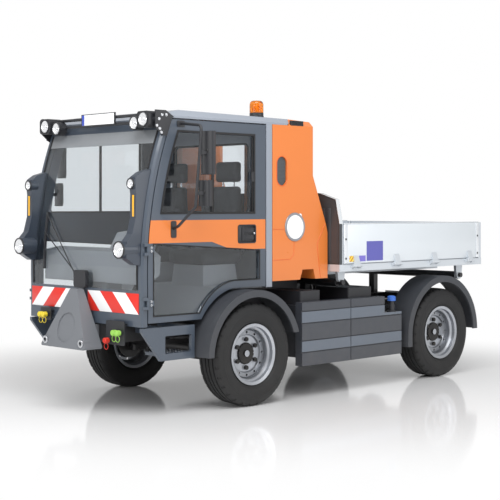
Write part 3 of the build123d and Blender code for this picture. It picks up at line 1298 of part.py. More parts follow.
# Engine housing between the towers: an open-bottomed hood with a ribbed filter box on top
housing_bottom_z = RAIL_TOP_Z + SEAT_GAP
housing_foot_y = RAIL_OUTER_Y - SEAT_GAP
filter_front_x = TOWER_TAIL_X + FILTER_BOX_LENGTH
with BuildPart() as engine_housing:
    with BuildSketch(side_view(TOWER_INNER_Y)):
        with BuildLine():
            Polyline(
                (TOWER_FRONT_X, housing_bottom_z),
                (TOWER_FRONT_X, HOUSING_TOP_Z),
                (filter_front_x, HOUSING_TOP_Z),
                (filter_front_x, FILTER_BOX_TOP_Z),
                (TOWER_TAIL_X, FILTER_BOX_TOP_Z - 20),
                (TOWER_TAIL_X, housing_bottom_z),
                close=True,
            )
        make_face()
    extrude(amount=2 * TOWER_INNER_Y)
    for side in (1, -1):
        with BuildSketch(side_view(side * TOWER_INNER_Y)):
            with Locations(((TOWER_FRONT_X + TOWER_TAIL_X) / 2, housing_bottom_z)):
                Rectangle(TOWER_FRONT_X - TOWER_TAIL_X, 2 * (HOUSING_SHOULDER_Z - housing_bottom_z))
        extrude(amount=side * (TOWER_INNER_Y - housing_foot_y), mode=Mode.SUBTRACT)
    with BuildSketch(side_view(housing_foot_y - HOUSING_WALL)):
        with BuildLine():
            Polyline(
                (TOWER_FRONT_X - HOUSING_WALL, housing_bottom_z),
                (TOWER_FRONT_X - HOUSING_WALL, HOUSING_TOP_Z - HOUSING_WALL),
                (TOWER_TAIL_X + HOUSING_WALL, HOUSING_TOP_Z - HOUSING_WALL),
                (TOWER_TAIL_X + HOUSING_WALL, housing_bottom_z),
                close=True,
            )
        make_face()
    extrude(amount=2 * (housing_foot_y - HOUSING_WALL), mode=Mode.SUBTRACT)
    with BuildSketch(front_view(TOWER_TAIL_X)):
        with Locations((0, (HOUSING_TOP_Z + FILTER_BOX_TOP_Z) / 2)):
            with GridLocations(2 * TOWER_INNER_Y / FIN_COUNT, 0, FIN_COUNT, 1):
                Rectangle(2 * TOWER_INNER_Y / FIN_COUNT / 2, FILTER_BOX_TOP_Z - HOUSING_TOP_Z - 50)
    extrude(amount=FIN_DEPTH, mode=Mode.SUBTRACT)
save(engine_housing, "engine_housing")

# Fenders: channel strips round the wheels, with brackets to the frame
def fender(axle_x, sizes):
    """Left and right fender over one axle."""
    inner_radius, outer_radius, front_end_z, rear_end_z = sizes
    with BuildPart() as pair:
        for side in (1, -1):
            for face_y, depth, ring_inner in (
                (FENDER_OUTER_Y, FENDER_OUTER_Y - FENDER_INNER_Y, outer_radius - FENDER_SKIN),
                (FENDER_OUTER_Y, FENDER_LIP, inner_radius),
            ):
                with BuildSketch(side_view(side * face_y)):
                    for radius, ring_mode in ((outer_radius, Mode.ADD), (ring_inner, Mode.SUBTRACT)):
                        with Locations((axle_x, TYRE_RADIUS)):
                            Circle(radius, mode=ring_mode)
                        with Locations((axle_x, TYRE_RADIUS / 2)):
                            Rectangle(2 * radius, TYRE_RADIUS, mode=ring_mode)
                    for way, end_z in ((1, front_end_z), (-1, rear_end_z)):
                        with Locations((axle_x + way * outer_radius / 2, end_z - outer_radius)):
                            Rectangle(outer_radius + 1, 2 * outer_radius, mode=Mode.SUBTRACT)
                extrude(amount=side * depth)
    return pair


front_fenders = fender(FRONT_AXLE_X, FRONT_FENDER)
save(front_fenders, "front_fenders")

rear_fender_shell = fender(REAR_AXLE_X, REAR_FENDER)
with BuildPart() as rear_fenders:
    add(rear_fender_shell.part)
    stay_height = RAIL_TOP_Z - 40.0
    stay_reach = math.sqrt((REAR_FENDER[1] - FENDER_SKIN / 2) ** 2 - (stay_height - TYRE_RADIUS) ** 2)
    for side in (1, -1):
        for stay_x in (REAR_AXLE_X - stay_reach, REAR_AXLE_X + stay_reach):
            with BuildSketch(side_view(side * (FENDER_INNER_Y + 30))):
                with Locations((stay_x, stay_height)):
                    Circle(16)
            extrude(amount=side * (FENDER_INNER_Y + 30 - RAIL_OUTER_Y - SEAT_GAP))
save(rear_fenders, "rear_fenders")

# Side covers between the wheels, with grooves between their panels
cover_length = COVER_FRONT_X - COVER_REAR_X
with BuildPart() as side_covers:
    for side in (1, -1):
        with BuildSketch(side_view(side * COVER_OUTER_Y)):
            with BuildLine():
                Polyline(
                    (COVER_FRONT_X, COVER_BOTTOM_Z),
                    (COVER_FRONT_X, COVER_TOP_Z),
                    (COVER_STEP_X, COVER_TOP_Z),
                    (COVER_STEP_X, COVER_STEP_Z),
                    (COVER_REAR_X, COVER_STEP_Z),
                    (COVER_REAR_X, COVER_BOTTOM_Z),
                    close=True,
                )
            make_face()
        extrude(amount=side * COVER_THICKNESS)
        with BuildSketch(side_view(side * COVER_OUTER_Y)):
            for groove_z in COVER_STRIP_LEVELS:
                with Locations(((COVER_FRONT_X + COVER_REAR_X) / 2, groove_z)):
                    Rectangle(cover_length + 2, COVER_GROOVE)
            with Locations((COVER_SPLIT_X, (COVER_TOP_Z + COVER_BOTTOM_Z) / 2)):
                Rectangle(COVER_GROOVE, COVER_TOP_Z - COVER_BOTTOM_Z + 2)
        extrude(amount=side * COVER_GROOVE_DEPTH, mode=Mode.SUBTRACT)
save(side_covers, "side_covers")

# Lockers, battery box and tank that carry the side covers
LOCKERS = (
    (FRONT_AXLE_X - 505.0, FRONT_AXLE_X - 1045.0, LOCKER_LID_Z),
    (FRONT_AXLE_X - 560.0, FRONT_AXLE_X - 780.0, LOCKER_TOP_Z),
    (FRONT_AXLE_X - 1065.0, REAR_AXLE_X + 766.0, LOCKER_LID_Z),
    (FRONT_AXLE_X - 1110.0, REAR_AXLE_X + 836.0, LOCKER_TOP_Z),
)
with BuildPart() as side_lockers:
    for side in (1, -1):
        for locker_front, locker_rear, locker_top in LOCKERS:
            with BuildSketch(level(LOCKER_BOTTOM_Z)):
                with Locations(
                    (
                        (locker_front + locker_rear) / 2,
                        side * (RAIL_OUTER_Y + COVER_OUTER_Y - COVER_THICKNESS) / 2,
                    )
                ):
                    RectangleRounded(
                        locker_front - locker_rear,
                        COVER_OUTER_Y - COVER_THICKNESS - RAIL_OUTER_Y - 2 * SEAT_GAP,
                        18,
                    )
            extrude(amount=locker_top - LOCKER_BOTTOM_Z)
save(side_lockers, "side_lockers")

# Cab steps: slanted panel with a foot opening and a tread behind it
with BuildPart() as cab_steps:
    for side in (1, -1):
        open_rear, open_front, open_bottom, open_top = STEP_OPENING
        with BuildSketch(side_view(side * CAB_HALF_WIDTH)):
            with BuildLine():
                Polyline(
                    (STEP_FRONT_X, STEP_TOP_Z),
                    (STEP_FRONT_X, STEP_TOP_Z - 24),
                    (STEP_SLANT_X, STEP_BOTTOM_Z),
                    (STEP_REAR_X, STEP_BOTTOM_Z),
                    (STEP_REAR_X, STEP_TOP_Z),
                    close=True,
                )
            make_face()
            with Locations(((open_rear + open_front) / 2, (open_bottom + open_top) / 2)):
                RectangleRounded(open_front - open_rear, open_top - open_bottom, STEP_CORNER, mode=Mode.SUBTRACT)
        extrude(amount=side * STEP_PANEL_THICKNESS)
        with BuildSketch(side_view(side * (CAB_HALF_WIDTH - STEP_PANEL_THICKNESS))):
            with Locations(((open_rear + open_front) / 2, open_bottom - 12)):
                Rectangle(open_front - open_rear, 24)
        extrude(amount=side * STEP_DEPTH)
        for arm_x in (open_rear + 20, open_front - 20):
            with BuildSketch(side_view(side * (CAB_HALF_WIDTH - STEP_PANEL_THICKNESS))):
                with Locations((arm_x, STEP_TOP_Z - 32)):
                    Rectangle(40, 60)
            extrude(amount=side * (CAB_HALF_WIDTH - STEP_PANEL_THICKNESS - RAIL_OUTER_Y - SEAT_GAP))
save(cab_steps, "cab_steps")

# Implement coupling: a leaning triangle with folded-back flanks, pocket and two bores
lean = math.atan2(COUPLING_FOOT_X - COUPLING_TOP_X, COUPLING_TOP_Z - COUPLING_FOOT_Z)
lean_normal = (math.cos(lean), 0, math.sin(lean))


def coupling_triangle(inset, bottom_drop):
    """Front outline of the coupling, moved in from its sloping sides."""
    return (
        (-COUPLING_FOOT_HALF_WIDTH + inset, COUPLING_FOOT_Z - bottom_drop),
        (COUPLING_FOOT_HALF_WIDTH - inset, COUPLING_FOOT_Z - bottom_drop),
        (COUPLING_TOP_HALF_WIDTH - inset, COUPLING_TOP_Z - inset),
        (inset - COUPLING_TOP_HALF_WIDTH, COUPLING_TOP_Z - inset),
    )


front_plate_plane = Plane(origin=(COUPLING_TOP_X, 0, COUPLING_TOP_Z), x_dir=(0, 1, 0), z_dir=lean_normal)
with BuildPart() as coupling_frame:
    with BuildSketch(front_view(COUPLING_BACK_X)):
        with BuildLine():
            Polyline(*coupling_triangle(0, 0), close=True)
        make_face()
    extrude(amount=COUPLING_FOOT_X + 20 - COUPLING_BACK_X)
    split(bisect_by=front_plate_plane, keep=Keep.BOTTOM)
    fillet(coupling_frame.edges().filter_by(Axis.X), 14)
    with BuildPart(mode=Mode.PRIVATE) as inside:
        with BuildSketch(front_view(COUPLING_BACK_X)):
            with BuildLine():
                Polyline(*coupling_triangle(COUPLING_PLATE, COUPLING_PLATE), close=True)
            make_face()
        extrude(amount=COUPLING_FOOT_X + 20 - COUPLING_BACK_X)
        split(bisect_by=front_plate_plane.offset(-COUPLING_PLATE), keep=Keep.BOTTOM)
    add(inside.part, mode=Mode.SUBTRACT)
    with BuildSketch(front_view(COUPLING_BOSS_X)):
        with Locations((COUPLING_BORE_Y, COUPLING_BORE_Z), (-COUPLING_BORE_Y, COUPLING_BORE_Z)):
            Circle(COUPLING_BOSS_RADIUS)
    extrude(amount=COUPLING_BOSS_LENGTH)
    with BuildSketch(front_plate_plane):
        with Locations((0, POCKET_MIDDLE)):
            SlotOverall(POCKET_HEIGHT, 2 * POCKET_HALF_WIDTH, rotation=90)
    extrude(amount=-POCKET_DEPTH, mode=Mode.SUBTRACT)
    with BuildSketch(front_view(COUPLING_BOSS_X)):
        with Locations((COUPLING_BORE_Y, COUPLING_BORE_Z), (-COUPLING_BORE_Y, COUPLING_BORE_Z)):
            Circle(COUPLING_BORE_RADIUS)
    extrude(amount=COUPLING_BOSS_LENGTH, mode=Mode.SUBTRACT)
    for side in (1, -1):
        with BuildSketch(side_view(side * (COUPLING_TOP_HALF_WIDTH + 120))):
            with BuildLine():
                Polyline(
                    (RAIL_FRONT_X + SEAT_GAP, 500.0),
                    (RAIL_FRONT_X + SEAT_GAP, 610.0),
                    (COUPLING_BACK_X + 60, 610.0),
                    (COUPLING_BACK_X + 60, 500.0),
                    close=True,
                )
            make_face()
        extrude(amount=side * 16)
save(coupling_frame, "coupling_frame")

# Wiper: motor cover under the windscreen, two parallel rods and an upright blade
WIPER_RODS = (
    (-57.0, 949.0, 1390.0),
    (34.0, 895.0, 1250.0),
)
with BuildPart() as wiper:
    with BuildSketch(front_view(WIPER_BACK_X)):
        with Locations((0, (WIPER_COVER_BOTTOM_Z + WIPER_COVER_TOP_Z) / 2)):
            RectangleRounded(WIPER_COVER_WIDTH, WIPER_COVER_TOP_Z - WIPER_COVER_BOTTOM_Z, 24)
    extrude(amount=WIPER_COVER_DEPTH)
    for rod_y, rod_z, end_z in WIPER_RODS:
        rod_start = Vector(WIPER_BACK_X + WIPER_COVER_DEPTH - 6, rod_y, rod_z)
        rod_end = Vector(front_arc_x(end_z) + WIPER_BLADE_DEPTH + 2, WIPER_BLADE_Y, end_z)
        with BuildSketch(Plane(origin=rod_start, z_dir=rod_end - rod_start)):
            Circle(WIPER_ROD_RADIUS)
        extrude(amount=(rod_end - rod_start).length)
    with BuildSketch(side_view(WIPER_BLADE_Y + WIPER_BLADE_WIDTH / 2)):
        with BuildLine():
            blade_back = arc_ends(*WIPER_BLADE_HEIGHTS, -SEAT_GAP)
            blade_front = arc_ends(*WIPER_BLADE_HEIGHTS, -WIPER_BLADE_DEPTH)
            ThreePointArc(*blade_back)
            Line(blade_back[2], blade_front[2])
            ThreePointArc(*reversed(blade_front))
            Line(blade_front[0], blade_back[0])
        make_face()
    extrude(amount=WIPER_BLADE_WIDTH)
save(wiper, "wiper")

# Hydraulic couplings: a bracket each side of the nose, with capped quick connectors
CAPS = (
    (-422.0, 651.0),
    (-378.0, 651.0),
    (350.0, 518.0),
    (435.0, 576.0),
    (475.0, 576.0),
)
CAP_BRACKETS = (
    (-400.0, 130.0, 610.0, 700.0),
    (412.0, 200.0, 490.0, 655.0),
)
CAP_RADIUS = 17.0
CAP_LENGTH = 44.0
CAP_BRACKET_THICKNESS = 8.0
with BuildPart() as hydraulic_couplings:
    for bracket_y, bracket_width, bracket_foot_z, bracket_top_z in CAP_BRACKETS:
        with BuildSketch(front_view(CAB_FRONT_FOOT[0] + 30)):
            with Locations((bracket_y, (bracket_foot_z + bracket_top_z) / 2)):
                RectangleRounded(bracket_width, bracket_top_z - bracket_foot_z, 14)
        extrude(amount=CAP_BRACKET_THICKNESS)
        with BuildSketch(level(bracket_top_z - 30)):
            with Locations((CAB_FRONT_FOOT[0] + 18, bracket_y)):
                Rectangle(36 - 2 * SEAT_GAP, bracket_width - 30)
        extrude(amount=12)
    for cap_y, cap_z in CAPS:
        with BuildSketch(front_view(CAB_FRONT_FOOT[0] + 30 + CAP_BRACKET_THICKNESS)):
            with Locations((cap_y, cap_z)):
                Circle(CAP_RADIUS)
        extrude(amount=CAP_LENGTH)
save(hydraulic_couplings, "hydraulic_couplings")

# Tip pivots: two cross tubes on stands over the rails, with pins for the bed's lugs
with BuildPart() as pivot_frame:
    for tube_x in (TIP_PIVOT_X, FRONT_STAND_X):
        with BuildSketch(side_view(PIVOT_TUBE_HALF)):
            with Locations((tube_x, TIP_PIVOT_Z)):
                Circle(PIVOT_TUBE_RADIUS)
        extrude(amount=2 * PIVOT_TUBE_HALF)
        with BuildSketch(side_view(PIVOT_TUBE_HALF + PIVOT_PIN_LENGTH)):
            with Locations((tube_x, TIP_PIVOT_Z)):
                Circle(PIVOT_PIN_RADIUS)
        extrude(amount=2 * (PIVOT_TUBE_HALF + PIVOT_PIN_LENGTH))
        with BuildSketch(level(RAIL_TOP_Z + SEAT_GAP)):
            with Locations((tube_x, RAIL_MIDDLE_Y), (tube_x, -RAIL_MIDDLE_Y)):
                Rectangle(1.8 * PIVOT_TUBE_RADIUS, RAIL_WIDTH - 20)
        extrude(amount=TIP_PIVOT_Z - RAIL_TOP_Z)
save(pivot_frame, "pivot_frame")

# Bed floor: plate, edge rails, a raised floor sheet and the boards' hinge blocks and pins
bed_length = BED_FRONT_X - BED_REAR_X
bed_middle_x = (BED_FRONT_X + BED_REAR_X) / 2
plate_bottom_z = BED_FLOOR_Z - BED_PLATE
HINGE_SHARES = (0.08, 0.36, 0.64, 0.92)
board_foot_z = BED_FLOOR_Z + BOARD_CLEARANCE
board_height = BOARD_TOP_Z - board_foot_z
side_front_x = BED_FRONT_X - HEADBOARD_THICKNESS - BOARD_CLEARANCE
side_rear_x = BED_REAR_X + CORNER_POST + BOARD_CLEARANCE
side_outer_y = BED_HALF_WIDTH + BOARD_RIB
hinge_y = BED_HALF_WIDTH + BOARD_HINGE_OUT
hinge_z = BED_FLOOR_Z - BOARD_HINGE_DROP
gate_hinge_x = BED_REAR_X - BOARD_HINGE_OUT
gate_half = BED_HALF_WIDTH - CORNER_POST - BOARD_CLEARANCE
sheet_half = BED_HALF_WIDTH - BOARD_WALL - BOARD_CLEARANCE
with BuildPart() as bed_floor:
    with BuildSketch(level(BED_FLOOR_Z)):
        with Locations((bed_middle_x, 0)):
            Rectangle(bed_length, 2 * BED_HALF_WIDTH)
    extrude(amount=-BED_PLATE)
    with BuildSketch(level(BED_FLOOR_Z)):
        with Locations(((side_front_x + side_rear_x) / 2, 0)):
            Rectangle(side_front_x - side_rear_x, 2 * sheet_half)
    extrude(amount=FLOOR_SHEET_RISE)
    with BuildSketch(level(BED_RAIL_BOTTOM_Z)):
        with Locations((bed_middle_x, 0)):
            Rectangle(bed_length, 2 * BED_HALF_WIDTH)
            Rectangle(
                bed_length - 2 * BED_RAIL_WIDTH,
                2 * (BED_HALF_WIDTH - BED_RAIL_WIDTH),
                mode=Mode.SUBTRACT,
            )
    extrude(amount=BED_FLOOR_Z - BED_RAIL_BOTTOM_Z)
    for side in (1, -1):
        for share in HINGE_SHARES:
            middle_x = side_rear_x + share * (side_front_x - side_rear_x)
            for block_x in (middle_x - 30 - SEAT_GAP - 20, middle_x + 30 + SEAT_GAP):
                with BuildSketch(front_view(block_x)):
                    with BuildLine():
                        Polyline(
                            (side * (BED_HALF_WIDTH - 2), hinge_z + 8),
                            (side * hinge_y, hinge_z + BOARD_EYE_RADIUS),
                            (side * hinge_y, hinge_z - BOARD_EYE_RADIUS),
                            (side * (BED_HALF_WIDTH - 2), hinge_z - 30),
                            close=True,
                        )
                    make_face()
                    with Locations((side * hinge_y, hinge_z)):
                        Circle(BOARD_EYE_RADIUS)
                extrude(amount=20)
            with BuildSketch(front_view(middle_x - 40)):
                with Locations((side * hinge_y, hinge_z)):
                    Circle(BOARD_HINGE_RADIUS)
            extrude(amount=80)
    for share in HINGE_SHARES:
        middle_y = gate_half * (2 * share - 1)
        for block_y in (middle_y - 30 - SEAT_GAP, middle_y + 30 + SEAT_GAP + 20):
            with BuildSketch(side_view(block_y)):
                with BuildLine():
                    Polyline(
                        (BED_REAR_X + 2, hinge_z + 8),
                        (gate_hinge_x, hinge_z + BOARD_EYE_RADIUS),
                        (gate_hinge_x, hinge_z - BOARD_EYE_RADIUS),
                        (BED_REAR_X + 2, hinge_z - 30),
                        close=True,
                    )
                make_face()
                with Locations((gate_hinge_x, hinge_z)):
                    Circle(BOARD_EYE_RADIUS)
            extrude(amount=20)
        with BuildSketch(side_view(middle_y + 40)):
            with Locations((gate_hinge_x, hinge_z)):
                Circle(BOARD_HINGE_RADIUS)
        extrude(amount=80)
save(bed_floor, "bed_floor")

# Bed subframe: cross members under the plate, laid on two long bearers
CROSS_MEMBERS = (
    BED_FRONT_X - 225.0,
    CYLINDER_EYE[0] + 100.0,
    CYLINDER_EYE[0] - 100.0,
    TIP_PIVOT_X + 646.0,
    TIP_PIVOT_X + 346.0,
)
cross_half = BED_HALF_WIDTH - BED_RAIL_WIDTH - SEAT_GAP
with BuildPart() as bed_subframe:
    with BuildSketch(level(BEARER_BOTTOM_Z)):
        with Locations((bed_middle_x, RAIL_MIDDLE_Y), (bed_middle_x, -RAIL_MIDDLE_Y)):
            Rectangle(bed_length - 2 * BED_RAIL_WIDTH, BEARER_WIDTH)
    extrude(amount=BED_RAIL_BOTTOM_Z - SEAT_GAP - BEARER_BOTTOM_Z)
    with BuildSketch(level(BED_RAIL_BOTTOM_Z)):
        for cross_x in CROSS_MEMBERS:
            with Locations((cross_x, 0)):
                Rectangle(CROSS_MEMBER_WIDTH, 2 * cross_half)
    extrude(amount=plate_bottom_z - SEAT_GAP - BED_RAIL_BOTTOM_Z)
save(bed_subframe, "bed_subframe")

# Pivot lugs under the plate: bored ears at the rear, open saddles at the front
lug_y = PIVOT_TUBE_HALF + PIVOT_LUG_GAP
lug_top_z = plate_bottom_z - SEAT_GAP
with BuildPart() as pivot_lugs:
    for side in (1, -1):
        for lug_x, lug_bottom in ((TIP_PIVOT_X, TIP_PIVOT_Z - PIVOT_LUG_RADIUS), (FRONT_STAND_X, TIP_PIVOT_Z)):
            with BuildSketch(side_view(side * (lug_y + PIVOT_LUG_THICKNESS))):
                with BuildLine():
                    Polyline(
                        (lug_x - PIVOT_LUG_RADIUS + 2, lug_bottom + 20),
                        (lug_x + PIVOT_LUG_RADIUS - 2, lug_bottom + 20),
                        (lug_x + PIVOT_LUG_RADIUS + 14, lug_top_z),
                        (lug_x - PIVOT_LUG_RADIUS - 14, lug_top_z),
                        close=True,
                    )
                make_face()
                with Locations((lug_x, lug_bottom + PIVOT_LUG_RADIUS)):
                    Circle(PIVOT_LUG_RADIUS)
                with Locations((lug_x, TIP_PIVOT_Z)):
                    Circle(PIVOT_PIN_RADIUS + RUNNING_GAP, mode=Mode.SUBTRACT)
            extrude(amount=side * PIVOT_LUG_THICKNESS)
    with BuildSketch(level(TIP_PIVOT_Z + SEAT_GAP)):
        with Locations((FRONT_STAND_X, 0)):
            Rectangle(4 * PIVOT_LUG_RADIUS, 2 * (lug_y + 2 * PIVOT_LUG_THICKNESS))
    extrude(amount=-2 * PIVOT_LUG_RADIUS, mode=Mode.SUBTRACT)
save(pivot_lugs, "pivot_lugs")

# Cylinder ears: two plates under the floor joined by the pin in the cylinder's eye
with BuildPart() as cylinder_ears:
    eye_x, eye_z = CYLINDER_EYE
    for side in (1, -1):
        with BuildSketch(side_view(side * (EYE_WIDTH / 2 + EAR_GAP + EAR_WALL))):
            with BuildLine():
                Polyline(
                    (eye_x - 26, eye_z - 22),
                    (eye_x + 26, eye_z - 22),
                    (eye_x + 60, plate_bottom_z - SEAT_GAP),
                    (eye_x - 60, plate_bottom_z - SEAT_GAP),
                    close=True,
                )
            make_face()
        extrude(amount=side * EAR_WALL)
    with BuildSketch(side_view(EYE_WIDTH / 2 + EAR_GAP + EAR_WALL / 2)):
        with Locations(CYLINDER_EYE):
            Circle(BED_EYE_PIN_RADIUS)
    extrude(amount=EYE_WIDTH + 2 * EAR_GAP + EAR_WALL)
save(cylinder_ears, "cylinder_ears")

# Headboard with cut shoulders, and the rear corner posts that stand on the floor
with BuildPart() as headboard:
    with BuildSketch(front_view(BED_FRONT_X)):
        with BuildLine():
            Polyline(
                (-BED_HALF_WIDTH, BED_FLOOR_Z),
                (BED_HALF_WIDTH, BED_FLOOR_Z),
                (BED_HALF_WIDTH, BOARD_TOP_Z),
                (BED_HALF_WIDTH - 40, HEADBOARD_SHOULDER_Z),
                (HEADBOARD_SHOULDER_Y, HEADBOARD_TOP_Z),
                (-HEADBOARD_SHOULDER_Y, HEADBOARD_TOP_Z),
                (40 - BED_HALF_WIDTH, HEADBOARD_SHOULDER_Z),
                (-BED_HALF_WIDTH, BOARD_TOP_Z),
                close=True,
            )
        make_face()
    extrude(amount=-HEADBOARD_THICKNESS)
    for side in (1, -1):
        with BuildSketch(level(BED_FLOOR_Z)):
            with Locations((BED_REAR_X + CORNER_POST / 2, side * (BED_HALF_WIDTH - CORNER_POST / 2))):
                RectangleRounded(CORNER_POST, CORNER_POST, 6)
        extrude(amount=BOARD_TOP_Z - BED_FLOOR_Z)
save(headboard, "headboard")

# Drop sides and tailgate: planked boards hinged along their lower edge
plank = board_height / BOARD_PLANKS


def plank_levels():
    """Middle height of each plank of a board."""
    return [board_foot_z + plank * (index + 0.5) for index in range(BOARD_PLANKS)]


with BuildPart() as side_board_left:
    with BuildSketch(front_view(side_rear_x)):
        with Locations((BED_HALF_WIDTH - BOARD_WALL / 2, board_foot_z + board_height / 2)):
            Rectangle(BOARD_WALL, board_height)
        for plank_z in plank_levels():
            with Locations((BED_HALF_WIDTH, plank_z)):
                Rectangle(2 * BOARD_RIB, plank - 14)
    extrude(amount=side_front_x - side_rear_x)
    for share in HINGE_SHARES:
        with BuildSketch(front_view(side_rear_x + share * (side_front_x - side_rear_x) - 30)):
            with BuildLine():
                Polyline(
                    (side_outer_y - 2, board_foot_z + 60),
                    (side_outer_y + 6, board_foot_z + 60),
                    (hinge_y + 10, hinge_z + 10),
                    (hinge_y - 10, hinge_z + 10),
                    (side_outer_y - 2, board_foot_z + 14),
                    close=True,
                )
            make_face()
            with Locations((hinge_y, hinge_z)):
                Circle(BOARD_EYE_RADIUS)
                Circle(BOARD_HINGE_RADIUS + RUNNING_GAP, mode=Mode.SUBTRACT)
        extrude(amount=60)
save(side_board_left, "side_board_left")

with BuildPart() as side_board_right:
    mirror(side_board_left.part, about=Plane.XZ)
save(side_board_right, "side_board_right")

gate_outer_x = BED_REAR_X - BOARD_RIB
with BuildPart() as tailgate:
    with BuildSketch(side_view(gate_half)):
        with Locations((BED_REAR_X + BOARD_WALL / 2, board_foot_z + board_height / 2)):
            Rectangle(BOARD_WALL, board_height)
        for plank_z in plank_levels():
            with Locations((BED_REAR_X, plank_z)):
                Rectangle(2 * BOARD_RIB, plank - 14)
    extrude(amount=2 * gate_half)
    for share in HINGE_SHARES:
        with BuildSketch(side_view(gate_half * (2 * share - 1) + 30)):
            with BuildLine():
                Polyline(
                    (gate_outer_x + 2, board_foot_z + 60),
                    (gate_outer_x - 6, board_foot_z + 60),
                    (gate_hinge_x - 10, hinge_z + 10),
                    (gate_hinge_x + 10, hinge_z + 10),
                    (gate_outer_x + 2, board_foot_z + 14),
                    close=True,
                )
            make_face()
            with Locations((gate_hinge_x, hinge_z)):
                Circle(BOARD_EYE_RADIUS)
                Circle(BOARD_HINGE_RADIUS + RUNNING_GAP, mode=Mode.SUBTRACT)
        extrude(amount=60)
save(tailgate, "tailgate")

# Tipping cylinder: barrel with foot eye, and three telescoping stages
foot_x, foot_z = CYLINDER_FOOT
eye_x, eye_z = CYLINDER_EYE
cylinder_length = math.hypot(eye_x - foot_x, eye_z - foot_z)
cylinder_way = ((eye_x - foot_x) / cylinder_length, 0, (eye_z - foot_z) / cylinder_length)
cylinder_plane = Plane(origin=(foot_x, 0, foot_z), x_dir=(0, 1, 0), z_dir=cylinder_way)
barrel_end = cylinder_length - CYLINDER_TOP_CLEARANCE - len(STAGE_RADII) * STAGE_RISE

with BuildPart() as cylinder_barrel:
    with BuildSketch(cylinder_plane.offset(BARREL_START)):
        Circle(BARREL_RADIUS)
    extrude(amount=barrel_end - BARREL_START)
    with BuildSketch(side_view(TRUNNION_END_Y)):
        with Locations(CYLINDER_FOOT):
            Circle(TRUNNION_RADIUS)
    extrude(amount=2 * TRUNNION_END_Y)
    with BuildSketch(cylinder_plane.offset(BARREL_START + STAGE_FLOOR)):
        Circle(STAGE_RADII[0] + STAGE_GAP)
    extrude(amount=barrel_end - BARREL_START, mode=Mode.SUBTRACT)
    for side in (1, -1):
        with BuildSketch(side_view(side * TRUNNION_BORE_Y)):
            with Locations(CYLINDER_FOOT):
                Circle(FOOT_PIN_RADIUS + RUNNING_GAP)
        extrude(amount=-side * (TRUNNION_END_Y - TRUNNION_BORE_Y), mode=Mode.SUBTRACT)
save(cylinder_barrel, "cylinder_barrel")

for index, stage_radius in enumerate(STAGE_RADII):
    last = index == len(STAGE_RADII) - 1
    stage_start = BARREL_START + STAGE_FLOOR * (index + 1) + SEAT_GAP
    stage_end = cylinder_length if last else barrel_end + STAGE_RISE * (index + 1)
    with BuildPart() as stage:
        with BuildSketch(cylinder_plane.offset(stage_start)):
            Circle(stage_radius)
        extrude(amount=stage_end - stage_start)
        if last:
            with BuildSketch(side_view(EYE_WIDTH / 2)):
                with Locations(CYLINDER_EYE):
                    Circle(EYE_RADIUS)
            extrude(amount=EYE_WIDTH)
            with BuildSketch(side_view(EYE_WIDTH)):
                with Locations(CYLINDER_EYE):
                    Circle(EYE_BORE_RADIUS)
            extrude(amount=2 * EYE_WIDTH, mode=Mode.SUBTRACT)
        else:
            with BuildSketch(cylinder_plane.offset(stage_start + STAGE_FLOOR - SEAT_GAP)):
                Circle(STAGE_RADII[index + 1] + STAGE_GAP)
            extrude(amount=stage_end - stage_start, mode=Mode.SUBTRACT)
    save(stage, f"cylinder_stage_{index + 1}")
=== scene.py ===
"""Looks of a compact utility truck, laid out as an add-on and run as a script."""

import math

import bpy
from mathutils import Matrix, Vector


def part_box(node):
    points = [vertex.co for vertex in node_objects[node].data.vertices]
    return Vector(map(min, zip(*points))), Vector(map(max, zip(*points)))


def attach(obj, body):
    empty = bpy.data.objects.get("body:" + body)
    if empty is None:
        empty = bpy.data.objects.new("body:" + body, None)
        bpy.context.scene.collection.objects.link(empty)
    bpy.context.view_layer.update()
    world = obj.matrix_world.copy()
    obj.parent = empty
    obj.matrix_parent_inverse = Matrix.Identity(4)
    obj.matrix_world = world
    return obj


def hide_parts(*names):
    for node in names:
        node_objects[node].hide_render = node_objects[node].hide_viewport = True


bl_info = {
    "name": "Compact utility truck",
    "version": (1, 0, 0),
    "blender": (4, 5, 0),
    "location": "3D View > Sidebar > Truck",
    "description": "Paint, glass, tyres, lamps and trim for a small tipping truck",
    "category": "Object",
}

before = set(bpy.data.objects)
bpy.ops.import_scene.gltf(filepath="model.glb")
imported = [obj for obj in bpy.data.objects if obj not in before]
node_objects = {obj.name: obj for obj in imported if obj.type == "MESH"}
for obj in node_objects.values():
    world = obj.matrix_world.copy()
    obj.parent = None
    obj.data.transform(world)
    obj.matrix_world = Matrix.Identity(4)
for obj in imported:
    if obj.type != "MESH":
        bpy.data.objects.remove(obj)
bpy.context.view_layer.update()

# Places along the truck are distances ahead of the front axle, as in the CAD.
AXLE_LOW, AXLE_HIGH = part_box("front_axle")
FRONT_AXLE = (AXLE_LOW.x + AXLE_HIGH.x) / 2
REAR_LOW, REAR_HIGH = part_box("tyre_rear_left")
REAR_AXLE = (REAR_LOW.x + REAR_HIGH.x) / 2
TYRE_LOW, TYRE_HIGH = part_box("tyre_front_left")
TYRE_RADIUS = (TYRE_HIGH.x - TYRE_LOW.x) / 2
TYRE_MIDDLE_Y = (TYRE_LOW.y + TYRE_HIGH.y) / 2
CAB_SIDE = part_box("cab_rear_wall")[1].y
SIDES = (("left", 1), ("right", -1))
CORNERS = (
    ("front_left", FRONT_AXLE, 1),
    ("front_right", FRONT_AXLE, -1),
    ("rear_left", REAR_AXLE, 1),
    ("rear_right", REAR_AXLE, -1),
)
# Side view of the cab's front: distance ahead of the front axle, height
FRONT_ARC = ((0.950, 0.865), (0.9097, 1.450), (0.733, 2.045))
TYRE_STEPS = 120
NOTCH_EVERY = 4
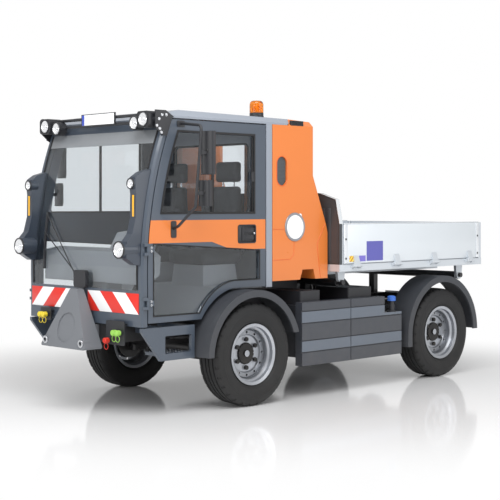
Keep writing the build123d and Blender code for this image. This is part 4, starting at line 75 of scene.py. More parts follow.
# Half section of a tyre from the bead to the crown's edge: radius, half width
TYRE_WALL = (
    (0.2034, 0.074), (0.2080, 0.082), (0.2220, 0.0845), (0.2320, 0.0930), (0.2400, 0.0985),
    (0.2420, 0.1012), (0.2450, 0.1015), (0.2470, 0.1010), (0.2620, 0.1070), (0.2800, 0.1110),
    (0.2990, 0.1122), (0.3080, 0.1118), (0.3100, 0.1128), (0.3130, 0.1128), (0.3150, 0.1108),
    (0.3260, 0.1088), (0.3400, 0.1045), (0.3520, 0.0985), (0.3605, 0.0925), (0.3665, 0.0845),
    (0.3692, 0.0735), (0.3702, 0.0625),
)
# Warning boards: inner end, foot, the place where their bands start and the length of one red and white pair
BOARD_INNER = 0.058
BOARD_FOOT = 0.706
BAND_START = 0.905
BAND_LENGTH = 0.282
# Seat pads: kind, low and high corner, edge radius, furthest swelling, sewn lines across the pad
SEAT_SIDE = 0.300
PAD_SEAMS = (-0.125, 0.125)
PADS = (
    ("cushion", (-0.150, -0.208, 1.022), (0.268, 0.208, 1.110), 0.030, 0.014, PAD_SEAMS),
    ("backrest", (-0.181, -0.208, 1.062), (-0.099, 0.208, 1.598), 0.028, 0.014, PAD_SEAMS),
    ("headrest", (-0.213, -0.122, 1.618), (-0.152, 0.122, 1.772), 0.024, 0.010, ()),
)
BACK_FOOT = (-0.140, 0, 1.062)
BACK_LEAN = 5.0
SWELL_FRAMES = 20
MIRROR_SIDE = CAB_SIDE + 0.192
# Mirror heads: (distance ahead of the axle, height), (depth, width, height)
MIRROR_HEADS = (
    ((0.522, 1.803), (0.048, 0.108, 0.298)),
    ((0.549, 1.526), (0.048, 0.100, 0.178)),
)
# Lamps of one side: name, (distance ahead of the axle, from the middle, height), radius
LAMPS = (
    ("headlamp", (1.095, 0.584, 1.145), 0.060),
    ("turn_lamp", (1.006, 0.598, 1.590), 0.038),
    ("roof_lamp", (0.876, 0.572, 2.030), 0.053),
    ("work_lamp", (0.8585, 0.453, 2.010), 0.050),
)
# Seams of the towers as distance ahead of the axle and height
TOWER_SEAMS = (
    ((-0.8780, 1.300), (-0.7880, 1.146), (-0.8270, 0.884)),
    ((-0.3030, 1.266), (-0.4340, 1.266)),
    ((-0.3030, 1.036), (-0.4880, 1.036), (-0.5300, 1.075), (-0.5320, 1.172)),
)
# Stickers of a drop side: finish, front edge and rear edge from the axle, foot and top
STICKERS = (
    ("sticker_yellow", -1.033, -1.142, 1.004, 1.050),
    ("sticker_small", -1.150, -1.229, 1.004, 1.050),
    ("sticker_blue", -1.240, -1.443, 1.006, 1.161),
)
# Dust caps: distance from the middle, height, finish
NOSE_CAPS = (
    (-0.422, 0.651, "cap_yellow"),
    (-0.378, 0.651, "cap_yellow"),
    (0.350, 0.518, "cap_red"),
    (0.435, 0.576, "cap_green"),
    (0.475, 0.576, "cap_green"),
)
# Bolts of a lamp bracket: distance ahead of the axle, height
BRACKET_BOLTS = (
    (0.780, 2.060), (0.806, 2.032), (0.742, 2.062), (0.800, 1.965), (0.786, 1.940), (0.826, 1.985),
)
# Tail lenses of one side: name, nearer and farther edge from the middle, finish
TAIL_LENSES = (
    ("reverse", 0.408, 0.468, "plate_white"),
    ("stop", 0.474, 0.556, "red_lens"),
    ("turn", 0.562, 0.632, "amber_lens"),
)
# Lights: name, place, size, power, the place they aim at
LIGHTS = (
    ("key_light", (3.5, 3.0, 6.0), 5.0, 380.0, (0, 0, 0.8)),
    ("side_light", (-1.5, 7.0, 3.0), 4.0, 120.0, (-0.2, 0, 1.0)),
    ("front_light", (8.0, 0.5, 3.0), 3.5, 120.0, (1.0, 0, 1.0)),
)
# Camera: place from the front axle, turn in degrees, lens and sensor in millimetres, shift
CAMERA_PLACE = (6.2522, 7.0851, 1.4375)
CAMERA_TURN = 45.505
CAMERA_LENS = 89.06
CAMERA_SENSOR = 36.0
CAMERA_SHIFT = -0.0877
# The floor fades between two distances from the middle; the backdrop's strength as a light
FADE_START = 1.9
FADE_END = 4.2
BACKDROP_LIGHT = 0.56


def linear(red, green, blue):
    """Scene-linear colour from display values of 0 to 255."""
    out = []
    for value in (red, green, blue):
        share = value / 255
        out.append(share / 12.92 if share <= 0.04045 else ((share + 0.055) / 1.055) ** 2.4)
    return tuple(out)


def colour_property(name, description, values):
    return bpy.props.FloatVectorProperty(
        name=name, description=description, subtype="COLOR", size=3, min=0, max=1, default=linear(*values)
    )


def length_property(name, description, value):
    return bpy.props.FloatProperty(
        name=name, description=description, subtype="DISTANCE", unit="LENGTH", default=value
    )


class PaintColours(bpy.types.PropertyGroup):
    """Colours of the painted and moulded parts."""

    orange: colour_property("Orange", "Cover towers and door band", (219, 122, 52))
    cab_grey: colour_property("Cab grey", "Cab posts, doors and steps", (70, 79, 91))
    light_grey: colour_property("Light grey", "Roof and door pillars", (142, 149, 160))
    cover_grey: colour_property("Cover grey", "Side covers", (56, 60, 68))
    cover_strip: colour_property("Cover strip", "Strips between the side covers", (92, 101, 113))
    fender_grey: colour_property("Fender grey", "Moulded fenders", (56, 59, 65))
    black_plastic: colour_property("Black plastic", "Mirrors, lamps and trims", (38, 39, 43))
    pod_grey: colour_property("Pod grey", "Lamp pods", (52, 60, 72))
    frame_black: colour_property("Frame black", "Frame, axles and stands", (33, 34, 37))
    bed_silver: colour_property("Bed silver", "Bed floor and drop sides", (206, 212, 218))
    coupling_grey: colour_property("Coupling grey", "Front coupling", (112, 115, 120))
    rim_silver: colour_property("Rim silver", "Wheel rims", (176, 180, 187))
    tyre_black: colour_property("Tyre black", "Tyres", (13, 14, 17))
    # Grey of the dashboard and cab floor, lightened as painted light for the shaded inside of the cab
    interior_grey: colour_property("Interior grey", "Dashboard and floor", (158, 162, 167))
    warning_red: colour_property("Warning red", "Stripes of the front boards", (222, 38, 22))
    plate_white: colour_property("Plate white", "Blank plate, sign disc and boards", (244, 245, 246))


class TruckSizes(bpy.types.PropertyGroup):
    """Sizes of the trim that isn't in the CAD."""

    seal_width: length_property("Seal width", "Rubber seal round the windows", 0.016)
    groove_depth: length_property("Groove depth", "Depth of the tyres' long grooves", 0.008)
    board_width: length_property("Board width", "Width of each warning board", 0.564)
    board_height: length_property("Board height", "Height of each warning board", 0.141)
    sign_radius: length_property("Sign radius", "Radius of the blank disc on the tower", 0.102)
    plate_width: length_property("Plate width", "Width of the blank number plate", 0.38)
    plate_height: length_property("Plate height", "Height of the blank number plate", 0.075)


# Mesh tools


def only(piece):
    """Select one object alone and make it active."""
    bpy.ops.object.select_all(action="DESELECT")
    piece.select_set(True)
    bpy.context.view_layer.objects.active = piece


def apply_place(piece):
    """Put the object's place, turn and size into its mesh."""
    only(piece)
    bpy.ops.object.transform_apply(location=True, rotation=True, scale=True)


def apply_modifier(piece, kind, **settings):
    """Add one modifier, set it and apply it."""
    only(piece)
    bpy.ops.object.modifier_add(type=kind)
    modifier = piece.modifiers[-1]
    for key, value in settings.items():
        setattr(modifier, key, value)
    bpy.ops.object.modifier_apply(modifier=modifier.name)


def soften(piece, width=0.004, segments=2, angle=35):
    """Round the sharp edges and shade smooth between them."""
    apply_modifier(
        piece, "BEVEL", width=width, segments=segments, limit_method="ANGLE", angle_limit=math.radians(angle)
    )
    return smooth(piece)


def smooth(piece, angle=32):
    """Shade smooth where faces meet at less than an angle."""
    only(piece)
    bpy.ops.object.shade_smooth_by_angle(angle=math.radians(angle))
    return piece


def remove(piece):
    """Delete a piece that was only a pattern for copies."""
    only(piece)
    bpy.ops.object.delete()


def at(x, y, z):
    """The place that lies x ahead of the front axle."""
    return (FRONT_AXLE + x, y, z)


def block(name, corner, opposite):
    """A box between two corners, started from a cube."""
    size = [abs(there - here) for here, there in zip(corner, opposite)]
    middle = [(here + there) / 2 for here, there in zip(corner, opposite)]
    bpy.ops.object.select_all(action="DESELECT")
    bpy.ops.mesh.primitive_cube_add(size=1, location=middle, scale=size)
    piece = bpy.context.active_object
    piece.name = name
    apply_place(piece)
    return piece


def rod(name, start, end, radius, sides=24):
    """A round bar from start to end, started from a cylinder."""
    start, end = Vector(start), Vector(end)
    way = end - start
    bpy.ops.object.select_all(action="DESELECT")
    bpy.ops.mesh.primitive_cylinder_add(
        vertices=sides,
        radius=radius,
        depth=way.length,
        location=(start + end) / 2,
        rotation=way.to_track_quat("Z", "Y").to_euler(),
    )
    piece = bpy.context.active_object
    piece.name = name
    apply_place(piece)
    return piece


def line_of(name, points):
    """A mesh line through points, drawn by extruding one vertex; ends in edit mode."""
    points = [Vector(point) for point in points]
    bpy.ops.object.select_all(action="DESELECT")
    bpy.ops.mesh.primitive_plane_add(size=0.01, location=points[0])
    piece = bpy.context.active_object
    piece.name = name
    apply_place(piece)
    bpy.ops.object.mode_set(mode="EDIT")
    bpy.ops.mesh.select_mode(type="VERT")
    bpy.ops.mesh.select_all(action="SELECT")
    bpy.ops.mesh.merge(type="CENTER")
    bpy.ops.mesh.select_all(action="SELECT")
    for here, there in zip(points, points[1:]):
        bpy.ops.mesh.extrude_vertices_move(TRANSFORM_OT_translate={"value": there - here})
    bpy.ops.mesh.select_all(action="SELECT")
    return piece


def close_mesh():
    """Merge doubles, turn the faces outwards and leave edit mode."""
    bpy.ops.mesh.select_all(action="SELECT")
    bpy.ops.mesh.remove_doubles(threshold=0.00005)
    bpy.ops.mesh.normals_make_consistent(inside=False)
    bpy.ops.object.mode_set(mode="OBJECT")


def plate(name, outline, depth):
    """A flat plate whose outline is a ring of points, thickened by a vector."""
    piece = line_of(name, outline)
    bpy.ops.mesh.edge_face_add()
    bpy.ops.mesh.select_all(action="SELECT")
    bpy.ops.mesh.extrude_region_move(TRANSFORM_OT_translate={"value": depth})
    close_mesh()
    return piece


def border(name, outline, width, depth):
    """A frame that follows a ring of points inwards for a width, thickened by a vector."""
    piece = line_of(name, outline)
    bpy.ops.mesh.edge_face_add()
    bpy.ops.mesh.select_mode(type="FACE")
    bpy.ops.mesh.select_all(action="SELECT")
    bpy.ops.mesh.inset(thickness=width, depth=0, use_even_offset=True)
    bpy.ops.mesh.delete(type="FACE")
    bpy.ops.mesh.select_all(action="SELECT")
    bpy.ops.mesh.extrude_region_move(TRANSFORM_OT_translate={"value": depth})
    close_mesh()
    return piece


def ribbon(name, points, across, thickness):
    """A strip along a line of points, as wide as a vector, with a thickness."""
    piece = line_of(name, points)
    bpy.ops.mesh.extrude_region_move(TRANSFORM_OT_translate={"value": across})
    bpy.ops.object.mode_set(mode="OBJECT")
    apply_modifier(piece, "SOLIDIFY", thickness=thickness, offset=0)
    only(piece)
    bpy.ops.object.mode_set(mode="EDIT")
    close_mesh()
    return piece


def pipe(name, points, radius, bend=0.03):
    """A round pipe along a line of points with rounded bends."""
    piece = line_of(name, points)
    if len(points) > 2:
        bpy.ops.mesh.bevel(offset=bend, segments=6, affect="VERTICES")
    bpy.ops.object.mode_set(mode="OBJECT")
    only(piece)
    bpy.ops.object.convert(target="CURVE")
    piece = bpy.context.active_object
    piece.data.bevel_depth = radius
    piece.data.bevel_resolution = 3
    piece.data.use_fill_caps = True
    bpy.ops.object.convert(target="MESH")
    piece = bpy.context.active_object
    bpy.ops.object.mode_set(mode="EDIT")
    close_mesh()
    smooth(piece, 50)
    return piece


def lathe(name, profile, centre, axis, steps=48):
    """A turned shape: profile points are (radius, place along the axis)."""
    axis = Vector(axis).normalized()
    across = Vector((1, 0, 0)) if abs(axis.z) > 0.9 else Vector((0, 0, 1))
    across = (across - axis * across.dot(axis)).normalized()
    points = [Vector(centre) + across * radius + axis * along for radius, along in profile]
    piece = line_of(name, points)
    bpy.ops.mesh.spin(steps=steps, angle=math.tau, center=centre, axis=axis, use_auto_merge=True)
    close_mesh()
    smooth(piece, 35)
    return piece


def pick_faces(piece, wanted):
    """Select the faces whose middle and normal pass a test, and stay in edit mode."""
    only(piece)
    bpy.ops.object.mode_set(mode="EDIT")
    bpy.ops.mesh.select_mode(type="FACE")
    bpy.ops.mesh.select_all(action="DESELECT")
    bpy.ops.object.mode_set(mode="OBJECT")
    for face in piece.data.polygons:
        face.select = bool(wanted(face.center, face.normal))
    bpy.ops.object.mode_set(mode="EDIT")


def press_in(piece, wanted, width, depth):
    """Inset the faces that pass a test and press them in by a depth."""
    pick_faces(piece, wanted)
    bpy.ops.mesh.inset(thickness=width, depth=depth)
    close_mesh()


def join(name, pieces):
    """Join pieces into one object."""
    bpy.ops.object.select_all(action="DESELECT")
    for piece in pieces:
        piece.select_set(True)
    bpy.context.view_layer.objects.active = pieces[0]
    if len(pieces) > 1:
        bpy.ops.object.join()
    pieces[0].name = name
    return pieces[0]


def copy_of(piece, name, offset=(0, 0, 0)):
    """A copy with its own mesh, moved by an offset."""
    only(piece)
    bpy.ops.object.duplicate(linked=False)
    twin = bpy.context.active_object
    twin.name = name
    twin.location = Vector(twin.location) + Vector(offset)
    apply_place(twin)
    return twin


def dress(piece, body, finish):
    """Give a piece its material and the CAD body it rides on."""
    piece.data.materials.clear()
    piece.data.materials.append(finishes[finish])
    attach(piece, body)
    return piece


def fitted(name, corner, opposite, edge, segments, finish, body="chassis"):
    """A block with rounded edges and a finish."""
    return dress(soften(block(name, corner, opposite), edge, segments), body, finish)


def turned(name, profile, centre, axis, finish, steps=48, body="chassis"):
    """A turned shape with a finish."""
    return dress(lathe(name, profile, centre, axis, steps), body, finish)


def dress_node(node, finish):
    """Give a CAD node a better material without touching its mesh."""
    piece = node_objects[node]
    if not piece.material_slots:
        piece.data.materials.append(finish)
    for material_slot in piece.material_slots:
        material_slot.link = "OBJECT"
        material_slot.material = finish



def circle_through(first, middle, last):
    """Centre and radius of the circle through three points."""
    (x1, y1), (x2, y2), (x3, y3) = first, middle, last
    d = 2 * (x1 * (y2 - y3) + x2 * (y3 - y1) + x3 * (y1 - y2))
    s1, s2, s3 = x1**2 + y1**2, x2**2 + y2**2, x3**2 + y3**2
    x = (s1 * (y2 - y3) + s2 * (y3 - y1) + s3 * (y1 - y2)) / d
    y = (s1 * (x3 - x2) + s2 * (x1 - x3) + s3 * (x2 - x1)) / d
    return x, y, math.hypot(x1 - x, y1 - y)


def front_x(height):
    """How far forward the cab's front arc is at a height."""
    foot_x, foot_z = FRONT_ARC[0]
    if height <= foot_z:
        return FRONT_AXLE + foot_x
    x, z, radius = circle_through(*FRONT_ARC)
    return FRONT_AXLE + x + math.sqrt(radius**2 - (height - z) ** 2)


def arc_points(first, middle, last, steps):
    """Points along the circle through three points."""
    x, y, radius = circle_through(first, middle, last)
    start = math.atan2(first[1] - y, first[0] - x)
    turn = math.remainder(math.atan2(last[1] - y, last[0] - x) - start, math.tau)
    angles = [start + turn * step / steps for step in range(steps + 1)]
    return [(x + radius * math.cos(angle), y + radius * math.sin(angle)) for angle in angles]


def corner_ring(half_width, half_height, corner, steps=6):
    """Points round a box with round corners, about its middle."""
    points = []
    for quarter, (way_x, way_z) in enumerate(((1, 1), (-1, 1), (-1, -1), (1, -1))):
        for step in range(steps + 1):
            angle = math.radians(90 * quarter + 90 * step / steps)
            x = way_x * (half_width - corner) + corner * math.cos(angle)
            points.append((x, way_z * (half_height - corner) + corner * math.sin(angle)))
    return points


def both_sides(x, outline):
    """Points (side, height) of the left half, followed round on the right half."""
    return [(x, y, z) for y, z in outline] + [(x, -y, z) for y, z in reversed(outline)]


def side_window(grow):
    """Outline of the side window, its front edge along the cab's front arc."""
    foot, top = 1.386 - grow, 1.960 + grow
    setback = 0.133 - grow
    rear = FRONT_AXLE - 0.114 - grow
    steps = 8
    heights = [foot + (top - foot) * step / steps for step in range(steps + 1)]
    return [(front_x(z) - setback, z) for z in heights] + [(rear, top), (rear, foot)]


def lower_window(grow):
    """Outline of the glass in the lower half of a door, round the wheel arch."""
    arch = ((0.430, 0.688), (0.312, 0.820), (0.103, 0.902))
    rear, front = FRONT_AXLE - 0.166 - grow, FRONT_AXLE + 0.852 + grow
    shifted = [(FRONT_AXLE + x - grow, z - grow) for x, z in arch]
    rear_foot, rear_top = 0.902 - grow, 1.117 + grow
    front_top, front_foot = 1.183 + grow, 0.688 - grow
    corners = [(rear, rear_foot), (rear, rear_top), (front, front_top), (front, front_foot)]
    return arc_points(*shifted, 10) + corners


def bolt(place, way, radius):
    """A six-sided bolt head with a washer."""
    across, chamfer, shank = radius * 0.92, radius * 0.80, radius * 0.12
    crown, shoulder = radius * 0.62, radius * 0.5
    profile = ((0.0, crown), (chamfer, crown), (across, shoulder), (across, shank), (0.0, shank))
    head = lathe("bolt", profile, place, way, 6)
    top = radius * 0.16
    profile = ((0.0, top), (radius * 1.2, top), (radius * 1.25, 0.0), (0.0, 0.0))
    return join("bolt", [head, lathe("washer", profile, place, way, 20)])


def swell(form, reach):
    """Blow a closed form up like a stuffed pad, with no point moving further than reach."""
    apply_modifier(form, "REMESH", mode="VOXEL", voxel_size=0.008)
    rest = [vertex.co.copy() for vertex in form.data.vertices]
    scene = bpy.context.scene
    only(form)
    bpy.ops.object.modifier_add(type="CLOTH")
    cloth = form.modifiers[-1]
    cloth.settings.quality = 5
    cloth.settings.mass = 0.3
    cloth.settings.use_pressure = True
    cloth.settings.uniform_pressure_force = 4.0
    cloth.settings.effector_weights.gravity = 0.0
    cloth.settings.tension_stiffness = 25.0
    cloth.point_cache.frame_start = 1
    cloth.point_cache.frame_end = SWELL_FRAMES
    for number in range(1, SWELL_FRAMES + 1):
        scene.frame_set(number)
    bpy.ops.object.modifier_apply(modifier=cloth.name)
    scene.frame_set(1)
    for vertex, start in zip(form.data.vertices, rest):
        moved = vertex.co - start
        if moved.length > reach:
            vertex.co = start + moved * (reach / moved.length)
    form.data.update()
    apply_modifier(form, "SUBSURF", levels=1, render_levels=1)


# Shader tools

tools = {}
finishes = {}
DUST_COLOUR = (150, 142, 130)
COAT_ROUGHNESS = 0.05
GLOSS_SPREAD = 0.06
GRAIN_DEPTH = 0.002
TONE_SCALE = 2.5
GLASS_SHADE = 0.97
GLASS_FILM = 0.006
GLASS_IOR = 1.45


def link(tree, source, target):
    """Lead one socket to another."""
    tree.links.new(source, target)


def math_node(tree, operation, first, second=None, clamp=False):
    """One Math node; inputs are sockets or numbers."""
    node = tree.nodes.new("ShaderNodeMath")
    node.operation = operation
    node.use_clamp = clamp
    for index, value in enumerate((first, second)):
        if value is None:
            continue
        if isinstance(value, (int, float)):
            node.inputs[index].default_value = value
        else:
            link(tree, value, node.inputs[index])
    return node.outputs[0]


def group_with(name, inputs, outputs):
    """An empty shader node group with named sockets."""
    tree = bpy.data.node_groups.new(name, "ShaderNodeTree")
    for label, kind, value in inputs:
        socket = tree.interface.new_socket(name=label, in_out="INPUT", socket_type=kind)
        if value is not None:
            socket.default_value = value
    for label, kind in outputs:
        tree.interface.new_socket(name=label, in_out="OUTPUT", socket_type=kind)
    return tree, tree.nodes.new("NodeGroupInput"), tree.nodes.new("NodeGroupOutput")


def grain_group():
    """Fine surface grain: a height for bumps and a slow tone that varies over the piece."""
    tree, start, end = group_with(
        "surface_grain",
        [
            ("Vector", "NodeSocketVector", None),
            ("Grain scale", "NodeSocketFloat", 400.0),
            ("Tone scale", "NodeSocketFloat", 3.0),
        ],
        [("Height", "NodeSocketFloat"), ("Tone", "NodeSocketFloat")],
    )
    fine = tree.nodes.new("ShaderNodeTexNoise")
    fine.inputs["Detail"].default_value = 2.0
    link(tree, start.outputs["Vector"], fine.inputs["Vector"])
    link(tree, start.outputs["Grain scale"], fine.inputs["Scale"])
    slow = tree.nodes.new("ShaderNodeTexNoise")
    slow.inputs["Detail"].default_value = 4.0
    slow.inputs["Roughness"].default_value = 0.6
    link(tree, start.outputs["Vector"], slow.inputs["Vector"])
    link(tree, start.outputs["Tone scale"], slow.inputs["Scale"])
    link(tree, fine.outputs["Fac"], end.inputs["Height"])
    link(tree, slow.outputs["Fac"], end.inputs["Tone"])
    return tree


def road_dust_group():
    """Faint dust that gathers low on the truck, as a mask."""
    tree, start, end = group_with(
        "road_dust",
        [
            ("Vector", "NodeSocketVector", None),
            ("Clean above", "NodeSocketFloat", 0.9),
            ("Amount", "NodeSocketFloat", 0.15),
        ],
        [("Dust", "NodeSocketFloat")],
    )
    split = tree.nodes.new("ShaderNodeSeparateXYZ")
    link(tree, start.outputs["Vector"], split.inputs[0])
    share = math_node(tree, "DIVIDE", split.outputs["Z"], start.outputs["Clean above"])
    low = math_node(tree, "SUBTRACT", 1.0, share, clamp=True)
    cloud = tree.nodes.new("ShaderNodeTexNoise")
    cloud.inputs["Scale"].default_value = 14.0
    cloud.inputs["Detail"].default_value = 6.0
    link(tree, start.outputs["Vector"], cloud.inputs["Vector"])
    patchy = math_node(tree, "MULTIPLY", low, cloud.outputs["Fac"])
    link(tree, math_node(tree, "MULTIPLY", patchy, start.outputs["Amount"]), end.inputs["Dust"])
    return tree


def object_place(material):
    """The Object coordinates of a material, from one shared node."""
    nodes = material.node_tree.nodes
    place = nodes.get("place") or nodes.new("ShaderNodeTexCoord")
    place.name = "place"
    return place.outputs["Object"]


def use_group(material, tree, **values):
    """Place a group in a material, fed by Object coordinates."""
    node = material.node_tree.nodes.new("ShaderNodeGroup")
    node.node_tree = tree
    link(material.node_tree, object_place(material), node.inputs["Vector"])
    for key, value in values.items():
        node.inputs[key.replace("_", " ")].default_value = value
    return node


def mix_colours(tree, share, first, second, mode="MIX"):
    """Mix two colours by a share; colours are sockets or triples."""
    node = tree.nodes.new("ShaderNodeMix")
    node.data_type = "RGBA"
    node.blend_type = mode
    for socket, value in ((node.inputs[0], share), (node.inputs[6], first), (node.inputs[7], second)):
        if isinstance(value, float):
            socket.default_value = value
        elif isinstance(value, tuple):
            socket.default_value = (*value, 1.0)
        else:
            link(tree, value, socket)
    return node.outputs[2]


def value_range(tree, value, low, high):
    """Map 0..1 to low..high."""
    node = tree.nodes.new("ShaderNodeMapRange")
    link(tree, value, node.inputs["Value"])
    node.inputs["To Min"].default_value = low
    node.inputs["To Max"].default_value = high
    return node.outputs["Result"]


def principled(name):
    """A new material with its node tree and its shader."""
    material = bpy.data.materials.new(name)
    material.use_nodes = True
    return material, material.node_tree, material.node_tree.nodes["Principled BSDF"]


def surface(
    name,
    colour,
    roughness,
    metallic=0.0,
    coat=0.0,
    grain=400.0,
    bump=0.02,
    tone=0.05,
    dust=0.0,
    edge=0.003,
    pattern=None,
):
    """A painted, moulded or metal surface with grain, tone, dust and softened edges."""
    material, tree, shader = principled(name)
    shader.inputs["Metallic"].default_value = metallic
    shader.inputs["Coat Weight"].default_value = coat
    shader.inputs["Coat Roughness"].default_value = COAT_ROUGHNESS
    skin = use_group(material, tools["grain"], Grain_scale=grain, Tone_scale=TONE_SCALE)
    base = pattern(material, colour) if pattern else colour
    lighter = value_range(tree, skin.outputs["Tone"], 1 - tone, 1 + tone)
    shade = tree.nodes.new("ShaderNodeCombineColor")
    for index in range(3):
        link(tree, lighter, shade.inputs[index])
    toned = mix_colours(tree, 1.0, base, shade.outputs[0], "MULTIPLY")
    if dust:
        low = use_group(material, tools["dust"], Amount=dust)
        toned = mix_colours(tree, low.outputs["Dust"], toned, linear(*DUST_COLOUR))
    link(tree, toned, shader.inputs["Base Color"])
    smoothest, roughest = max(roughness - GLOSS_SPREAD, 0.02), min(roughness + GLOSS_SPREAD, 1)
    gloss = value_range(tree, skin.outputs["Tone"], smoothest, roughest)
    link(tree, gloss, shader.inputs["Roughness"])
    relief = tree.nodes.new("ShaderNodeBump")
    relief.inputs["Strength"].default_value = bump
    relief.inputs["Distance"].default_value = GRAIN_DEPTH
    link(tree, skin.outputs["Height"], relief.inputs["Height"])
    if edge:
        rounded = tree.nodes.new("ShaderNodeBevel")
        rounded.samples = 4
        rounded.inputs["Radius"].default_value = edge
        link(tree, rounded.outputs["Normal"], relief.inputs["Normal"])
    link(tree, relief.outputs["Normal"], shader.inputs["Normal"])
    return material


def clear_glass(name, tint, roughness=0.0):
    """Glass with a slightly uneven tint and a faint film on its faces."""
    material, tree, shader = principled(name)
    skin = use_group(material, tools["grain"], Grain_scale=90.0, Tone_scale=3.0)
    deeper = tuple(GLASS_SHADE * share for share in tint)
    link(tree, mix_colours(tree, skin.outputs["Tone"], deeper, tint), shader.inputs["Base Color"])
    film = value_range(tree, skin.outputs["Tone"], roughness, roughness + GLASS_FILM)
    link(tree, film, shader.inputs["Roughness"])
    shader.inputs["Transmission Weight"].default_value = 1.0
    shader.inputs["IOR"].default_value = GLASS_IOR
    return material


def coordinate(material, axis):
    """One Object coordinate as a socket."""
    nodes = material.node_tree.nodes
    split = nodes.get("axes") or nodes.new("ShaderNodeSeparateXYZ")
    split.name = "axes"
    link(material.node_tree, object_place(material), split.inputs[0])
    return split.outputs[axis]


def distance(tree, first, second):
    """Distance from the middle for two coordinates across each other."""
    squares = [math_node(tree, "POWER", value, 2.0) for value in (first, second)]
    return math_node(tree, "SQRT", math_node(tree, "ADD", *squares))


def inside(tree, value, low, high):
    """1 where a value lies between two limits, which are numbers or sockets."""
    above = math_node(tree, "GREATER_THAN", value, low)
    below = math_node(tree, "LESS_THAN", value, high)
    return math_node(tree, "MULTIPLY", above, below)


def beyond(material, reach):
    """1 where a point lies further to either side of the truck than a reach."""
    tree = material.node_tree
    return math_node(tree, "GREATER_THAN", math_node(tree, "ABSOLUTE", coordinate(material, "Y")), reach)


def door_paint(material, colour):
    """Cab grey with the orange band across the door."""
    tree = material.node_tree
    colours = bpy.context.scene.truck_colours
    x = coordinate(material, "X")
    z = coordinate(material, "Z")
    kink, slope_length, rise = FRONT_AXLE + 0.116, 0.195, 0.060
    band_foot, band_top = 1.125, 1.341
    past = math_node(tree, "SUBTRACT", x, kink)
    climb = math_node(tree, "MULTIPLY", past, rise / slope_length)
    held = math_node(tree, "MINIMUM", math_node(tree, "MAXIMUM", climb, 0.0), rise)
    band = inside(tree, z, math_node(tree, "ADD", held, band_foot), band_top)
    outside = beyond(material, CAB_SIDE - 0.004)
    return mix_colours(tree, math_node(tree, "MULTIPLY", band, outside), colour, tuple(colours.orange))


def stripes(way):
    """Red bands leaning one way across a white board."""

    def pattern(material, colour):
        tree = material.node_tree
        colours = bpy.context.scene.truck_colours
        y = coordinate(material, "Y")
        z = coordinate(material, "Z")
        lean = math_node(tree, "ADD", math_node(tree, "MULTIPLY", y, way), z)
        past = math_node(tree, "SUBTRACT", lean, BAND_START - 20 * BAND_LENGTH)
        turn = math_node(tree, "FRACT", math_node(tree, "DIVIDE", past, BAND_LENGTH))
        band = math_node(tree, "GREATER_THAN", turn, 0.5)
        return mix_colours(tree, band, colour, tuple(colours.warning_red))

    return pattern


def cover_panels(material, colour):
    """Side covers with lighter strips between their grooves."""
    tree = material.node_tree
    colours = bpy.context.scene.truck_colours
    z = coordinate(material, "Z")
    lower, upper = inside(tree, z, 0.346, 0.425), inside(tree, z, 0.564, 0.646)
    strips = math_node(tree, "ADD", lower, upper, clamp=True)
    seen = math_node(tree, "MULTIPLY", strips, beyond(material, 0.765))
    return mix_colours(tree, seen, colour, tuple(colours.cover_strip))


def paint_headboard_shade(material, colour):
    """Painted shade darkens the front and side faces of the headboard; bright behind."""
    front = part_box("headboard")[1].x
    # Painted shade: the front 31 mm of the headboard turns dark grey
    ahead = math_node(material.node_tree, "GREATER_THAN", coordinate(material, "X"), front - 0.031)
    return mix_colours(material.node_tree, ahead, colour, linear(64, 68, 72))


def plate_face(material, colour):
    """Blank number plate with a dark rim line and a blue strip at one end."""
    tree = material.node_tree
    sizes = bpy.context.scene.truck_sizes
    half = sizes.plate_width / 2
    y = coordinate(material, "Y")
    blue = math_node(tree, "LESS_THAN", y, 0.032 - half)
    face = mix_colours(tree, blue, colour, linear(40, 72, 190))
    return mix_colours(tree, beyond(material, half - 0.004), face, linear(30, 30, 32))


def hazard_sticker(material, colour):
    """Yellow sticker with slanting dark-red bands."""
    tree = material.node_tree
    lean = math_node(tree, "ADD", coordinate(material, "X"), coordinate(material, "Z"))
    turn = math_node(tree, "FRACT", math_node(tree, "MULTIPLY", lean, 1 / 0.034))
    return mix_colours(tree, math_node(tree, "GREATER_THAN", turn, 0.62), colour, linear(190, 90, 60))


def rim_paint(centre):
    """Silver rim, by distance from the axle: brighter at the flange and the centre disc, with painted shade
    on the dish between them.
    """

    def pattern(material, colour):
        tree = material.node_tree
        dx = math_node(tree, "SUBTRACT", coordinate(material, "X"), centre[0])
        dz = math_node(tree, "SUBTRACT", coordinate(material, "Z"), centre[1])
        far = distance(tree, dx, dz)
        hub = inside(tree, far, 0.0, 0.080)
        nuts = inside(tree, far, 0.0845, 0.1205)
        proud = beyond(material, TYRE_MIDDLE_Y + 0.0062)
        dark = math_node(tree, "ADD", hub, math_node(tree, "MULTIPLY", nuts, proud), clamp=True)
        cap = inside(tree, far, 0.0, 0.0235)
        dark = math_node(tree, "SUBTRACT", dark, cap, clamp=True)
        # Painted shade: the dish between the flange and the centre disc is mixed towards a darker grey
        ring = inside(tree, far, 0.133, 0.186)
        shaded = mix_colours(tree, math_node(tree, "MULTIPLY", ring, 0.45), colour, linear(96, 100, 106))
        return mix_colours(tree, dark, shaded, linear(34, 35, 38))

    return pattern


